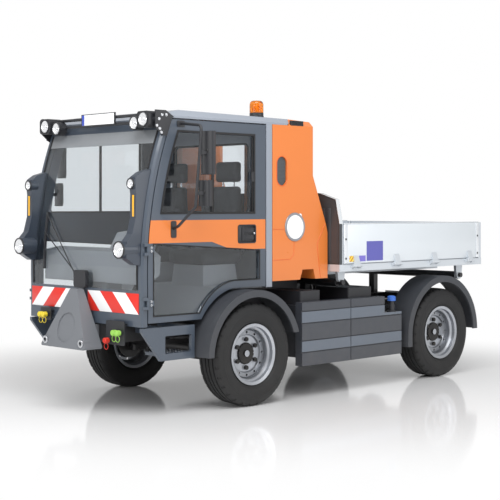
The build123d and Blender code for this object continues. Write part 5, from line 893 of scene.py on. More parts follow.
# Finishes: colour as a property's name or display values, roughness, other settings
PAINTS = {
    "orange_paint": ("orange", 0.30, dict(coat=0.5, bump=0.01, tone=0.02)),
    "orange_edge": ((222, 96, 24), 0.35, dict(coat=0.4, bump=0.01, tone=0.02)),
    "cab_paint": ("cab_grey", 0.34, dict(coat=0.45, bump=0.01, tone=0.03)),
    "door_paint": ("cab_grey", 0.34, dict(coat=0.45, bump=0.01, tone=0.03, pattern=door_paint)),
    "roof_paint": ("light_grey", 0.34, dict(coat=0.45, bump=0.01, tone=0.03)),
    "cover_paint": ("cover_grey", 0.42, dict(coat=0.2, bump=0.03, dust=0.15, pattern=cover_panels)),
    "fender_plastic": ("fender_grey", 0.50, dict(grain=900, bump=0.10, dust=0.12, edge=0.006)),
    "black_plastic": ("black_plastic", 0.40, dict(grain=900, bump=0.05)),
    "pod_plastic": ("pod_grey", 0.34, dict(coat=0.3, grain=700, edge=0.008)),
    "rubber": ((24, 24, 26), 0.62, dict(grain=600, bump=0.06, edge=0.0)),
    "frame_paint": ("frame_black", 0.40, dict(coat=0.2, bump=0.04, dust=0.12)),
    "engine_iron": ((58, 59, 61), 0.6, dict(metallic=0.3, grain=300, bump=0.15, dust=0.1)),
    "bed_metal": ("bed_silver", 0.30, dict(metallic=0.35, coat=0.3, tone=0.04)),
    # Silver headboard whose front carries painted shade
    "headboard_metal": ("bed_silver", 0.30, dict(metallic=0.3, coat=0.3, pattern=paint_headboard_shade)),
    "bed_sheet": ((214, 220, 225), 0.33, dict(metallic=0.1, coat=0.35, bump=0.01, tone=0.02)),
    "bed_profile": ((226, 230, 234), 0.22, dict(metallic=0.35, coat=0.3, bump=0.01, tone=0.02)),
    # Dark grey of the headboard's front sheet, painted shade
    "headboard_dark": ((72, 76, 80), 0.36, dict(metallic=0.3, coat=0.2)),
    "coupling_paint": ("coupling_grey", 0.42, dict(grain=350, bump=0.08, edge=0.005)),
    "bare_steel": ((200, 202, 206), 0.18, dict(metallic=1.0, grain=500)),
    # Grey of the dashboard and floor, partly painted light that lifts the shaded cab inside
    "interior_plastic": ("interior_grey", 0.5, dict(grain=800, bump=0.08, edge=0.01)),
    "screen_black": ((22, 24, 28), 0.12, dict(coat=0.7, bump=0.0, edge=0.0)),
    "grille_grey": ((88, 94, 98), 0.5, dict(grain=700, bump=0.06)),
    "amber_lens": ((232, 96, 16), 0.12, dict(coat=0.9, bump=0.0, edge=0.0, tone=0.10)),
    "red_lens": ((190, 22, 18), 0.12, dict(coat=0.9, bump=0.0, edge=0.0, tone=0.08)),
    "beacon_core": ((250, 210, 60), 0.2, dict(bump=0.0, edge=0.0)),
    "marker_lens": ((238, 178, 36), 0.2, dict(coat=0.6, bump=0.0, edge=0.0)),
    "plate_white": ("plate_white", 0.35, dict(coat=0.3, bump=0.01, tone=0.01)),
    "number_plate": ("plate_white", 0.3, dict(coat=0.4, bump=0.01, tone=0.01, pattern=plate_face)),
    "sign_ring": ((150, 152, 158), 0.3, dict(metallic=0.4, bump=0.01)),
    "glare_strip": ((126, 130, 134), 0.25, dict(coat=0.5, bump=0.01, tone=0.03, edge=0.0)),
    "sticker_yellow": ((238, 214, 62), 0.35, dict(tone=0.02, edge=0.0, pattern=hazard_sticker)),
    "sticker_small": ((120, 112, 196), 0.35, dict(tone=0.03, edge=0.0)),
    "sticker_blue": ((92, 92, 170), 0.35, dict(tone=0.04, edge=0.0)),
    "cap_yellow": ((228, 205, 52), 0.45, dict(grain=700, bump=0.05)),
    "cap_red": ((205, 44, 26), 0.45, dict(grain=700, bump=0.05)),
    "cap_blue": ((62, 112, 200), 0.40, dict(grain=700, bump=0.04)),
    "cap_green": ((146, 200, 84), 0.45, dict(grain=700, bump=0.05)),
    "stripes_left": ("plate_white", 0.35, dict(coat=0.3, tone=0.01, pattern=stripes(1))),
    "stripes_right": ("plate_white", 0.35, dict(coat=0.3, tone=0.01, pattern=stripes(-1))),
    "tyre_rubber": ("tyre_black", 0.62, dict(grain=500, bump=0.10, tone=0.08, dust=0.05, edge=0.0)),
    "seat_cloth": ((62, 64, 69), 0.85, dict(grain=700, bump=0.35, tone=0.08, edge=0.0)),
}
# Mirror finishes: scene-linear colour, roughness, other settings
MIRRORS = {
    "lamp_chrome": ((0.92, 0.93, 0.95), 0.06, dict(grain=90, bump=0.25, tone=0.02)),
    "mirror_face": ((0.9, 0.9, 0.92), 0.03, dict(bump=0.0, tone=0.01)),
}
# Glass: scene-linear tint, roughness
GLASSES = {
    "window_glass": ((0.84, 0.87, 0.89), 0.0),
    "lens_glass": ((0.98, 0.98, 0.98), 0.0),
    "amber_glass": ((0.95, 0.28, 0.03), 0.05),
}


def make_finishes():
    """Build the shared groups and every material."""
    colours = bpy.context.scene.truck_colours
    tools["grain"] = grain_group()
    tools["dust"] = road_dust_group()
    for name, (colour, roughness, settings) in PAINTS.items():
        chosen = tuple(getattr(colours, colour)) if isinstance(colour, str) else linear(*colour)
        finishes[name] = surface(name, chosen, roughness, **settings)
    for name, (colour, roughness, settings) in MIRRORS.items():
        finishes[name] = surface(name, colour, roughness, metallic=1.0, edge=0.0, **settings)
    for name, (tint, roughness) in GLASSES.items():
        finishes[name] = clear_glass(name, tint, roughness)
    silver = tuple(colours.rim_silver)
    for corner, axle_x, side in CORNERS:
        name = f"rim_{corner}"
        pattern = rim_paint((axle_x, TYRE_RADIUS))
        finishes[name] = surface(
            name, silver, 0.3, metallic=0.75, bump=0.01, tone=0.04, dust=0.25, pattern=pattern
        )


NODE_FINISHES = {
    "orange_paint": ("cover_towers",),
    "cab_paint": ("cab_front_frame", "cab_steps"),
    "door_paint": ("door_left", "door_right"),
    "roof_paint": ("cab_roof", "cab_rear_wall"),
    "cover_paint": ("side_covers",),
    "fender_plastic": ("front_fenders", "rear_fenders"),
    "black_plastic": (
        "mirror_left", "mirror_right", "roof_lamp_bar", "wiper", "steering_wheel", "engine_housing",
        "side_lockers", "hydraulic_couplings",
    ),
    "pod_plastic": ("lamp_pods",),
    "frame_paint": (
        "front_axle", "knuckle_left", "knuckle_right", "tie_rod", "rear_axle", "chassis_frame",
        "pivot_frame", "cylinder_barrel",
    ),
    "engine_iron": ("engine_block",),
    "bed_metal": (
        "bed_floor", "bed_subframe", "pivot_lugs", "cylinder_ears", "side_board_left",
        "side_board_right", "tailgate",
    ),
    "headboard_metal": ("headboard",),
    "coupling_paint": ("coupling_frame",),
    "bare_steel": ("cylinder_stage_1", "cylinder_stage_2", "cylinder_stage_3"),
    "interior_plastic": ("dashboard", "cab_floor"),
    "amber_lens": ("beacon",),
    "window_glass": ("windscreen", "rear_window", "door_glass_left", "door_glass_right"),
    "seat_cloth": ("seats",),
    "tyre_rubber": ("tyre_front_left", "tyre_front_right", "tyre_rear_left", "tyre_rear_right"),
}


class TRUCK_OT_finishes(bpy.types.Operator):
    """Build the materials and give every CAD part its finish"""

    bl_idname = "truck.finishes"
    bl_label = "Finishes"

    def execute(self, context):
        make_finishes()
        for finish, nodes in NODE_FINISHES.items():
            for node in nodes:
                dress_node(node, finishes[finish])
        for corner, axle_x, side in CORNERS:
            dress_node(f"rim_{corner}", finishes[f"rim_{corner}"])
        return {"FINISHED"}


class TRUCK_OT_stage(bpy.types.Operator):
    """Floor, backdrop, lights and camera"""

    bl_idname = "truck.stage"
    bl_label = "Stage"

    def execute(self, context):
        self.floor(context)
        self.backdrop(context.scene)
        for name, place, size, power, aim in LIGHTS:
            bpy.ops.object.light_add(type="AREA", location=place)
            lamp = context.active_object
            lamp.name = name
            lamp.data.shape = "SQUARE"
            lamp.data.size = size
            lamp.data.energy = power
            lamp.rotation_euler = (Vector(aim) - Vector(place)).to_track_quat("-Z", "Y").to_euler()
        bpy.ops.object.camera_add(location=at(*CAMERA_PLACE))
        camera = context.active_object
        camera.rotation_euler = (math.pi / 2, 0, math.pi / 2 + math.radians(CAMERA_TURN))
        camera.data.lens = CAMERA_LENS
        camera.data.sensor_width = CAMERA_SENSOR
        camera.data.shift_y = CAMERA_SHIFT
        context.scene.camera = camera
        context.scene.view_settings.view_transform = "Standard"
        return {"FINISHED"}

    def floor(self, context):
        """A glossy white floor that fades into the backdrop away from the truck."""
        bpy.ops.mesh.primitive_plane_add(size=60, location=(0, 0, -0.0005))
        floor = context.active_object
        floor.name = "floor"
        material, tree, shader = principled("floor")
        shader.inputs["Base Color"].default_value = (0.93, 0.93, 0.935, 1)
        shader.inputs["Roughness"].default_value = 0.09
        shader.inputs["Specular IOR Level"].default_value = 0.55
        white = tree.nodes.new("ShaderNodeEmission")
        white.inputs["Color"].default_value = (1, 1, 1, 1)
        fade = tree.nodes.new("ShaderNodeMapRange")
        fade.interpolation_type = "SMOOTHSTEP"
        fade.inputs["From Min"].default_value = FADE_START
        fade.inputs["From Max"].default_value = FADE_END
        far = distance(tree, coordinate(material, "X"), coordinate(material, "Y"))
        link(tree, far, fade.inputs["Value"])
        blend = tree.nodes.new("ShaderNodeMixShader")
        sources = (fade.outputs["Result"], shader.outputs[0], white.outputs[0])
        for socket, source in zip(blend.inputs, sources):
            link(tree, source, socket)
        link(tree, blend.outputs[0], tree.nodes["Material Output"].inputs["Surface"])
        floor.data.materials.append(material)

    def backdrop(self, scene):
        """White where it is seen, dimmer where it only lights the truck."""
        world = bpy.data.worlds.new("studio")
        scene.world = world
        world.use_nodes = True
        tree = world.node_tree
        back = tree.nodes["Background"]
        back.inputs["Color"].default_value = (1, 1, 1, 1)
        path = tree.nodes.new("ShaderNodeLightPath").outputs
        seen = math_node(tree, "MAXIMUM", path["Is Camera Ray"], path["Is Transmission Ray"])
        link(tree, value_range(tree, seen, BACKDROP_LIGHT, 1.0), back.inputs["Strength"])


class TRUCK_OT_front_boards(bpy.types.Operator):
    """Striped warning boards on the apron"""

    bl_idname = "truck.front_boards"
    bl_label = "Warning boards"

    def execute(self, context):
        sizes = context.scene.truck_sizes
        back, face = 0.9502, 0.9537
        outer = BOARD_INNER + sizes.board_width
        top = BOARD_FOOT + sizes.board_height
        for name, side in SIDES:
            low = at(back, side * BOARD_INNER, BOARD_FOOT)
            high = at(face, side * outer, top)
            fitted(f"warning_board_{name}", low, high, 0.001, 2, f"stripes_{name}")
        return {"FINISHED"}


class TRUCK_OT_tyres(bpy.types.Operator):
    """Road tyres with long grooves, shoulder notches and ribbed walls"""

    bl_idname = "truck.tyres"
    bl_label = "Tyres"

    def execute(self, context):
        crown = TYRE_RADIUS
        floor = crown - context.scene.truck_sizes.groove_depth
        half = list(TYRE_WALL)
        half += [
            (floor, 0.0605), (floor, 0.0515), (crown - 0.001, 0.0495), (crown - 0.0006, 0.0225),
            (floor, 0.0205), (floor, 0.0115), (crown - 0.0001, 0.0095),
        ]
        outline = half + [(radius, -along) for radius, along in reversed(half)]
        outline.append(half[0])
        centre = Vector((FRONT_AXLE, TYRE_MIDDLE_Y, TYRE_RADIUS))
        tyre = lathe("tyre", outline, centre, (0, 1, 0), TYRE_STEPS)
        shoulder_inner, shoulder_outer, shoulder_radius = 0.0740, 0.0985, 0.350

        def notch(middle, normal):
            place = middle - centre
            if not shoulder_inner < abs(place.y) < shoulder_outer:
                return False
            if math.hypot(place.x, place.z) < shoulder_radius:
                return False
            turn = math.atan2(place.z, place.x) % math.tau
            return math.floor(turn / math.tau * TYRE_STEPS) % NOTCH_EVERY == 0

        press_in(tyre, notch, 0.0012, -0.004)
        smooth(tyre, 28)
        for corner, axle_x, side in CORNERS:
            offset = (axle_x - FRONT_AXLE, (side - 1) * TYRE_MIDDLE_Y, 0)
            piece = copy_of(tyre, f"tread_{corner}", offset)
            dress(piece, f"wheel_{corner}", "tyre_rubber")
            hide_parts(f"tyre_{corner}")
        remove(tyre)
        return {"FINISHED"}


class TRUCK_OT_lamps(bpy.types.Operator):
    """Bowls, lenses and bezels of the front, turn, roof and work lamps"""

    bl_idname = "truck.lamps"
    bl_label = "Lamps"

    def execute(self, context):
        marker_y, marker_half = 0.609, 0.009
        for name, side in SIDES:
            for kind, (x, y, z), radius in LAMPS:
                self.lamp(f"{kind}_{name}", at(x, side * y, z), radius)
            y = side * marker_y
            low = at(0.9870, y - marker_half, 1.367)
            high = at(0.9935, y + marker_half, 1.513)
            fitted(f"marker_{name}", low, high, 0.004, 4, "marker_lens")
        return {"FINISHED"}

    def lamp(self, name, centre, radius):
        inner = radius - 0.0075
        shapes = (
            ("bowl", "lamp_chrome", 48, (
                (0.0, -0.0092), (inner * 0.35, -0.0090), (inner * 0.6, -0.0075), (inner * 0.85, -0.0040),
                (inner * 0.97, 0.0), (inner, -0.0012), (inner, -0.0098), (0.0, -0.0098),
            )),
            ("lens", "lens_glass", 48, (
                (0.0, 0.0060), (inner * 0.5, 0.0052), (inner * 0.85, 0.0032), (inner, 0.0006),
                (inner, -0.0008), (inner * 0.85, 0.0014), (inner * 0.5, 0.0034), (0.0, 0.0042),
            )),
            ("bulb", "lamp_chrome", 32, (
                (0.0, -0.0010), (inner * 0.16, -0.0022), (inner * 0.22, -0.0050), (inner * 0.24, -0.0091),
                (0.0, -0.0091),
            )),
            ("bezel", "black_plastic", 48, (
                (inner - 0.001, 0.0002), (inner, 0.0042), (inner + 0.0038, 0.0055), (radius - 0.0004, 0.0032),
                (radius + 0.0006, -0.0060), (radius - 0.0004, -0.0060), (inner, 0.0002),
                (inner - 0.001, 0.0002),
            )),
        )
        for shape, finish, steps, profile in shapes:
            turned(f"{name}_{shape}", profile, centre, (1, 0, 0), finish, steps)


class TRUCK_OT_beacon(bpy.types.Operator):
    """Flashing beacon: dark base, reflector and ribbed amber lens"""

    bl_idname = "truck.beacon"
    bl_label = "Beacon"

    def execute(self, context):
        low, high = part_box("beacon")
        middle = ((low.x + high.x) / 2, (low.y + high.y) / 2, low.z)
        radius = (high.x - low.x) / 2
        height = high.z - low.z
        wall = radius - 0.003
        groove = wall - 0.002
        foot = 0.046
        profile = (
            (0.0, 0.002), (radius, 0.002), (radius, 0.018), (wall, 0.022), (wall, foot - 0.004),
            (radius - 0.006, foot), (0.0, foot),
        )
        base = turned("beacon_base", profile, middle, (0, 0, 1), "black_plastic")
        ribs = [(0.0, foot + 0.0005)]
        rows = 9
        top = height - 0.026
        step = (top - foot) / rows
        for row in range(rows):
            here = foot + 0.0005 + step * row
            ribs += [(wall, here), (wall, here + step * 0.6)]
            ribs += [(groove, here + step * 0.7), (groove, here + step * 0.9)]
        for turn in range(1, 7):
            angle = math.radians(turn * 15)
            ribs.append((groove - 0.024 * (1 - math.cos(angle)), top + 0.0255 * math.sin(angle)))
        ribs.append((0.0, height - 0.0005))
        lens = turned("beacon_lens", ribs, middle, (0, 0, 1), "amber_glass", 64)
        profile = (
            (0.0, foot + 0.01), (0.022, foot + 0.01), (0.026, height * 0.6), (0.014, height * 0.8),
            (0.0, height * 0.8),
        )
        mirror = turned("beacon_reflector", profile, middle, (0, 0, 1), "beacon_core", 32)
        for piece in (base, lens, mirror):
            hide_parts("beacon")
        return {"FINISHED"}


class TRUCK_OT_number_plate(bpy.types.Operator):
    """Blank number plate with its blue end, its holder and clips"""

    bl_idname = "truck.number_plate"
    bl_label = "Number plate"

    def execute(self, context):
        sizes = context.scene.truck_sizes
        half = sizes.plate_width / 2
        face, back, clip_back = 0.8185, 0.8110, 0.7985
        foot = 2.0205
        top = foot + sizes.plate_height
        clip_half = 0.016
        low, high = at(back, -half - 0.008, foot - 0.006), at(face, half + 0.008, top + 0.006)
        fitted("plate_holder", low, high, 0.002, 2, "black_plastic")
        fitted("number_plate", at(face, -half, foot), at(face + 0.0022, half, top), 0.0008, 2, "number_plate")
        for number, y in enumerate((-half + 0.07, half - 0.07)):
            low = at(clip_back, y - clip_half, foot + 0.004)
            high = at(back, y + clip_half, top - 0.010)
            fitted(f"plate_clip_{number}", low, high, 0.003, 2, "black_plastic")
        return {"FINISHED"}


class TRUCK_OT_window_trim(bpy.types.Operator):
    """Rubber seals, glare strip, sliding-window bars and their catch"""

    bl_idname = "truck.window_trim"
    bl_label = "Window trim"

    def execute(self, context):
        width = context.scene.truck_sizes.seal_width
        seals = (
            ("side", side_window(0.004), width, 0.0035, 0.0012),
            ("lower", lower_window(0.003), width * 0.6, 0.0025, 0.0009),
        )
        bars = ((0.297, 0.011), (-0.098, 0.008))
        for name, side in SIDES:
            body = f"door_{name}"
            for window, outline, across, depth, edge in seals:
                ring = [(x, side * (CAB_SIDE + 0.0002), z) for x, z in outline]
                seal = border(f"{window}_window_seal_{name}", ring, across, (0, side * depth, 0))
                soften(seal, edge, 2)
                dress(seal, body, "rubber")
            strips = []
            for x, half in bars:
                low, high = at(x - half, side * 0.6415, 1.384), at(x + half, side * 0.6500, 1.962)
                strips.append(soften(block("bar", low, high), 0.002, 2))
            dress(join(f"window_bars_{name}", strips), body, "rubber")
            low, high = at(-0.106, side * 0.6495, 1.616), at(-0.078, side * 0.6610, 1.688)
            fitted(f"window_catch_{name}", low, high, 0.003, 3, "black_plastic", body)
        self.windscreen_trim()
        rear_middle, rear_half = 1.6505, 0.2645
        ring = corner_ring(0.430, rear_half, 0.040)
        for number, (x, depth) in enumerate(((-0.2702, 0.003), (-0.2948, -0.003))):
            points = [at(x, y, rear_middle + z) for y, z in ring]
            seal = border(f"rear_window_seal_{number}", points, 0.014, (depth, 0, 0))
            dress(smooth(seal), "chassis", "rubber")
        return {"FINISHED"}

    def windscreen_trim(self):
        """Dark strip along the windscreen's top and a seal down each side."""
        half, foot, pitch = 0.606, 1.868, 0.0235
        heights = [foot + pitch * step for step in range(5)]
        points = [(front_x(z) + 0.0012, -half, z) for z in heights]
        strip = ribbon("glare_strip", points, (0, 2 * half, 0), 0.001)
        dress(smooth(strip), "chassis", "glare_strip")
        seal_side, seal_foot, seal_pitch = 0.597, 0.872, 0.0905
        heights = [seal_foot + seal_pitch * step for step in range(13)]
        for name, side in SIDES:
            points = [(front_x(z) + 0.0022, side * seal_side, z) for z in heights]
            seal = ribbon(f"windscreen_seal_{name}", points, (0, side * 0.0160, 0), 0.003)
            dress(smooth(seal), "chassis", "rubber")


class TRUCK_OT_door_furniture(bpy.types.Operator):
    """Latch plates, handles, locks, hinge screws and mirror glass"""

    bl_idname = "truck.door_furniture"
    bl_label = "Door furniture"

    def execute(self, context):
        for name, side in SIDES:
            body = f"door_{name}"
            self.latch(name, side, body)
            screws = []
            for hinge_z in (0.760, 1.125):
                for rise in (0.008, 0.032):
                    place = at(0.872, side * (CAB_SIDE + 0.0058), hinge_z + rise)
                    screws.append(bolt(place, (0, side, 0), 0.0075))
            dress(join(f"hinge_screws_{name}", screws), body, "bare_steel")
            self.mirror(name, side, body)
        return {"FINISHED"}

    def latch(self, name, side, body):
        """Pan with a ring round it, a post, two pressed paddles and a lock."""
        x, z = -0.034, 1.236
        pan = block("pan", at(x - 0.084, side * 0.6462, z - 0.061), at(x + 0.084, side * 0.6492, z + 0.061))
        soften(pan, 0.0012, 2)
        points = [at(x + dx, side * 0.6552, z + dz) for dx, dz in corner_ring(0.092, 0.068, 0.018)]
        ring = border("ring", points, 0.0085, (0, side * 0.003, 0))
        post = block("post", at(x + 0.030, side * 0.6480, z - 0.050), at(x + 0.048, side * 0.6575, z + 0.050))
        soften(post, 0.004, 3)
        parts = [pan, ring, post]
        for foot in (z - 0.042, z + 0.008):
            low, high = at(x - 0.070, side * 0.6485, foot), at(x + 0.032, side * 0.6590, foot + 0.034)
            paddle = block("paddle", low, high)
            press_in(paddle, lambda middle, normal: normal.y * side > 0.9, 0.007, -0.0055)
            parts.append(soften(paddle, 0.0018, 2))
        dress(smooth(join(f"latch_{name}", parts)), body, "black_plastic")
        profile = ((0.0, 0.0105), (0.0055, 0.0105), (0.0085, 0.009), (0.0085, 0.0), (0.0, 0.0))
        place = at(x - 0.076, side * 0.6480, z + 0.004)
        turned(f"lock_{name}", profile, place, (0, side, 0), "bare_steel", 24, body)

    def mirror(self, name, side, body):
        """Glasses of one side's mirror heads, and the knobs on their fronts."""
        turn = math.radians(18) * side
        ahead = Vector((math.cos(turn), math.sin(turn), 0))
        across = Vector((-math.sin(turn), math.cos(turn), 0))
        up = Vector((0, 0, 1))
        profile = ((0.0, 0.006), (0.009, 0.006), (0.013, 0.002), (0.015, 0.0), (0.0, 0.0))
        glasses = []
        for (x, z), (depth, width, height) in MIRROR_HEADS:
            middle = Vector(at(x, side * MIRROR_SIDE, z))
            back = middle - ahead * (depth / 2 + 0.0002)
            ring = corner_ring(width / 2 - 0.013, height / 2 - 0.012, 0.016)
            glass = plate("glass", [back + across * dy + up * dz for dy, dz in ring], -ahead * 0.0025)
            glasses.append(soften(glass, 0.0008, 2))
            front = middle + ahead * (depth / 2 - 0.001) + up * height * 0.04
            turned(f"mirror_knob_{name}_{len(glasses)}", profile, front, ahead, "rubber", 24, body)
        dress(join(f"mirror_glass_{name}", glasses), body, "mirror_face")


class TRUCK_OT_tower_trim(bpy.types.Operator):
    """Slot grille, rings, blank sign face, seams and top louvre of the towers"""

    bl_idname = "truck.tower_trim"
    bl_label = "Tower trim"

    def execute(self, context):
        for name, side in SIDES:
            self.slot_grille(name, side)
            self.sign(name, side, context.scene.truck_sizes.sign_radius)
            seams = []
            for points in TOWER_SEAMS:
                chain = [at(x, side * (CAB_SIDE + 0.0001), z) for x, z in points]
                seams.append(pipe("seam", chain, 0.0022, 0.012))
            dress(join(f"tower_seams_{name}", seams), "chassis", "orange_edge")
            slats = []
            for row in range(5):
                foot = 2.050 + row * 0.0065
                low = at(-0.628, side * (CAB_SIDE - 0.010), foot)
                high = at(-0.500, side * (CAB_SIDE + 0.0035), foot + 0.0035)
                slats.append(block("slat", low, high))
            low = at(-0.634, side * (CAB_SIDE - 0.012), 2.046)
            high = at(-0.494, side * (CAB_SIDE + 0.0015), 2.083)
            slats.append(block("back", low, high))
            louvre = soften(join(f"top_louvre_{name}", slats), 0.0008, 1)
            dress(louvre, "chassis", "black_plastic")
        return {"FINISHED"}

    def slot_grille(self, name, side):
        """Fins across an upright slot with round ends, and the frame round it."""
        x, z = -0.399, 1.700
        pitch, straight_rows = 0.0102, 5
        low = at(x - 0.051, side * (CAB_SIDE - 0.0138), z - 0.107)
        high = at(x + 0.051, side * (CAB_SIDE - 0.0120), z + 0.107)
        fins = [block("back", low, high)]
        for row in range(-10, 11):
            reach = 0.049
            if abs(row) > straight_rows:
                past = abs(row) * pitch - 0.056
                reach = math.sqrt(max(0.050**2 - past**2, 0.0001))
            middle = z + row * pitch
            low = at(x - reach, side * (CAB_SIDE - 0.0125), middle - 0.0022)
            high = at(x + reach, side * (CAB_SIDE - 0.0075), middle + 0.0022)
            fins.append(block("fin", low, high))
        dress(soften(join(f"slot_grille_{name}", fins), 0.0006, 1), "chassis", "grille_grey")
        face = side * (CAB_SIDE + 0.0002)
        rim = [at(x + dx, face, z + dz) for dx, dz in corner_ring(0.0580, 0.1140, 0.0575)]
        ring = border(f"slot_frame_{name}", rim, 0.0065, (0, side * 0.0025, 0))
        dress(soften(ring, 0.0010, 2), "chassis", "orange_edge")

    def sign(self, name, side, radius):
        """Blank disc in a ring, and the small round lamp above it."""
        way = Vector((0, side, 0))
        middle = Vector(at(-0.540, side * (CAB_SIDE + 0.0040), 1.280))
        rim = radius - 0.011
        profile = ((0.0, 0.0016), (rim - 0.001, 0.0016), (rim, 0.0004), (rim, 0.0), (0.0, 0.0))
        turned(f"sign_face_{name}", profile, middle + way * 0.0001, way, "plate_white", 96)
        profile = (
            (rim, -0.004), (rim, 0.0022), (radius - 0.006, 0.0034), (radius + 0.004, 0.0030),
            (radius + 0.007, -0.0038), (rim, -0.0040),
        )
        turned(f"sign_ring_{name}", profile, middle, way, "sign_ring", 96)
        profile = (
            (0.0, 0.0055), (0.007, 0.0050), (0.011, 0.0035), (0.0115, 0.0005), (0.018, 0.0005),
            (0.018, 0.0), (0.0, 0.0),
        )
        place = at(-0.600, side * (CAB_SIDE + 0.0001), 1.364)
        turned(f"side_lamp_{name}", profile, place, way, "plate_white", 32)


class TRUCK_OT_bed_trim(bpy.types.Operator):
    """Smooth skins, end posts, catches and stickers of the drop sides"""

    bl_idname = "truck.bed_trim"
    bl_label = "Bed trim"

    def execute(self, context):
        low_board, high_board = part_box("side_board_left")
        front, rear = high_board.x, low_board.x
        foot, top = 0.9925, high_board.z
        skin_in, skin_out = 0.7691, 0.7713
        post_out = skin_in + 0.0050
        slot_profile = ((0.0, 0.0030), (0.0045, 0.0030), (0.0085, 0.0016), (0.0088, 0.0), (0.0, 0.0))
        for name, side in SIDES:
            body = f"side_board_{name}"
            low = (rear + 0.001, side * skin_in, foot)
            high = (front - 0.001, side * skin_out, top - 0.001)
            fitted(f"board_skin_{name}", low, high, 0.0008, 2, "bed_sheet", body)
            posts = []
            for post_x in (front - 0.003, rear + 0.041):
                low = (post_x - 0.038, side * (skin_in + 0.0020), foot + 0.0005)
                high = (post_x, side * post_out, top - 0.0015)
                posts.append(soften(block("post", low, high), 0.0014, 2))
            low = (rear + 0.002, side * (skin_in - 0.028), top - 0.0005)
            high = (front - 0.002, side * (skin_in + 0.0035), top + 0.0065)
            posts.append(soften(block("rail", low, high), 0.0030, 3))
            dress(smooth(join(f"board_posts_{name}", posts)), body, "bed_profile")
            slots = []
            for x in (front - 0.022, rear + 0.022):
                for z in (1.030, 1.181):
                    slots.append(lathe("slot", slot_profile, (x, side * post_out, z), (0, side, 0), 20))
            dress(join(f"board_catches_{name}", slots), body, "rubber")
            for sticker, start, end, low_z, high_z in STICKERS:
                low = at(end, side * (skin_in + 0.0021), low_z)
                high = at(start, side * (skin_in + 0.0026), high_z)
                fitted(f"{sticker}_{name}", low, high, 0.0002, 1, sticker, body)
        return {"FINISHED"}


class TRUCK_OT_headboard_panel(bpy.types.Operator):
    """Ribbed sheet on the front of the headboard, dark with painted shade, and its bright edge"""

    bl_idname = "truck.headboard_panel"
    bl_label = "Headboard"

    def execute(self, context):
        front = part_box("headboard")[1].x
        outline = ((0.748, 0.9950), (0.748, 1.2950), (0.712, 1.4790), (0.553, 1.5240))
        outline = both_sides(front + 0.0001, outline)
        ribs = [plate("headboard_sheet", outline, (0.0018, 0, 0))]
        rib_half, rib_pitch = 0.014, 0.060
        tall_within, tall_top, low_top = 0.56, 1.505, 1.42
        for column in range(-11, 12):
            y = column * rib_pitch
            top = tall_top if abs(y) < tall_within else low_top
            rib = block("rib", (front + 0.0015, y - rib_half, 1.010), (front + 0.0058, y + rib_half, top))
            ribs.append(soften(rib, 0.002, 2))
        # The sheet and ribs are dark grey as painted shade on the headboard's front
        dress(smooth(join("headboard_panel", ribs)), "bed", "headboard_dark")
        edge = both_sides(front - 0.0385, ((0.7665, 1.300), (0.7265, 1.4895), (0.5605, 1.5385)))
        cap = ribbon("headboard_edge", edge, (0.0395, 0, 0), 0.0024)
        dress(smooth(cap, 20), "bed", "bed_profile")
        return {"FINISHED"}


class TRUCK_OT_nose_caps(bpy.types.Operator):
    """Coloured dust caps with their loops on the hydraulic couplings"""

    bl_idname = "truck.nose_caps"
    bl_label = "Nose caps"

    def execute(self, context):
        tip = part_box("hydraulic_couplings")[1].x
        profile = [(0.0, 0.0040), (0.015, 0.0040), (0.0185, 0.0010)]
        for ring in range(5):
            along = -0.003 - ring * 0.0056
            profile += [(0.0195, along), (0.0195, along - 0.003), (0.0185, along - 0.0040)]
        profile += [(0.0185, -0.033), (0.0171, -0.033), (0.0171, 0.0005), (0.0, 0.0005)]
        loop_radius, cord_radius, sides = 0.021, 0.0022, 8
        section = []
        for turn in range(sides + 1):
            angle = turn * math.tau / sides
            section.append((loop_radius + cord_radius * math.cos(angle), cord_radius * math.sin(angle)))
        for number, (y, z, finish) in enumerate(NOSE_CAPS):
            cap = lathe("cap", profile, (tip, y, z), (1, 0, 0), 32)
            loop = lathe("loop", section, (tip - 0.016, y, z - 0.040), (1, 0, 0), 32)
            dress(join(f"dust_cap_{number}", [cap, loop]), "chassis", finish)
        return {"FINISHED"}


class TRUCK_OT_seat_pads(bpy.types.Operator):
    """Cloth cushions, backrests and headrests of both seats, and the headrests' posts"""

    bl_idname = "truck.seat_pads"
    bl_label = "Seat pads"

    def execute(self, context):
        for kind, low, high, corner, reach, seams in PADS:
            form = block(kind, at(*low), at(*high))
            apply_modifier(form, "BEVEL", width=corner, segments=5, limit_method="NONE")
            if kind == "backrest":
                self.lean(form)
            swell(form, reach)
            self.channels(form, seams)
            for name, side in SIDES:
                piece = smooth(copy_of(form, f"{kind}_{name}", (0, side * SEAT_SIDE, 0)), 60)
                dress(piece, "chassis", "seat_cloth")
                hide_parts("seats")
            remove(form)
        post_x, post_foot, post_top, post_radius = -0.185, 1.560, 1.655, 0.006
        for name, side in SIDES:
            posts = []
            for off in (-0.060, 0.060):
                y = side * SEAT_SIDE + off
                posts.append(rod("post", at(post_x, y, post_foot), at(post_x, y, post_top), post_radius))
            dress(smooth(join(f"headrest_posts_{name}", posts)), "chassis", "bare_steel")
        return {"FINISHED"}

    def lean(self, form):
        """Lean the backrest rearwards about its foot."""
        only(form)
        bpy.ops.object.mode_set(mode="EDIT")
        bpy.ops.mesh.select_all(action="SELECT")
        bpy.ops.transform.rotate(
            value=math.radians(-BACK_LEAN),
            orient_axis="Y",
            center_override=at(*BACK_FOOT),
            orient_type="GLOBAL",
        )
        bpy.ops.object.mode_set(mode="OBJECT")

    def channels(self, form, seams):
        """Press sewn lines into the pad where its covers meet."""
        depth, spread = 0.0045, 0.0055
        mesh = form.data
        normals = [vertex.normal.copy() for vertex in mesh.vertices]
        for vertex, normal in zip(mesh.vertices, normals):
            press = 0.0
            for seam in seams:
                press += depth * math.exp(-(((vertex.co.y - seam) / spread) ** 2))
            vertex.co -= normal * press
        mesh.update()


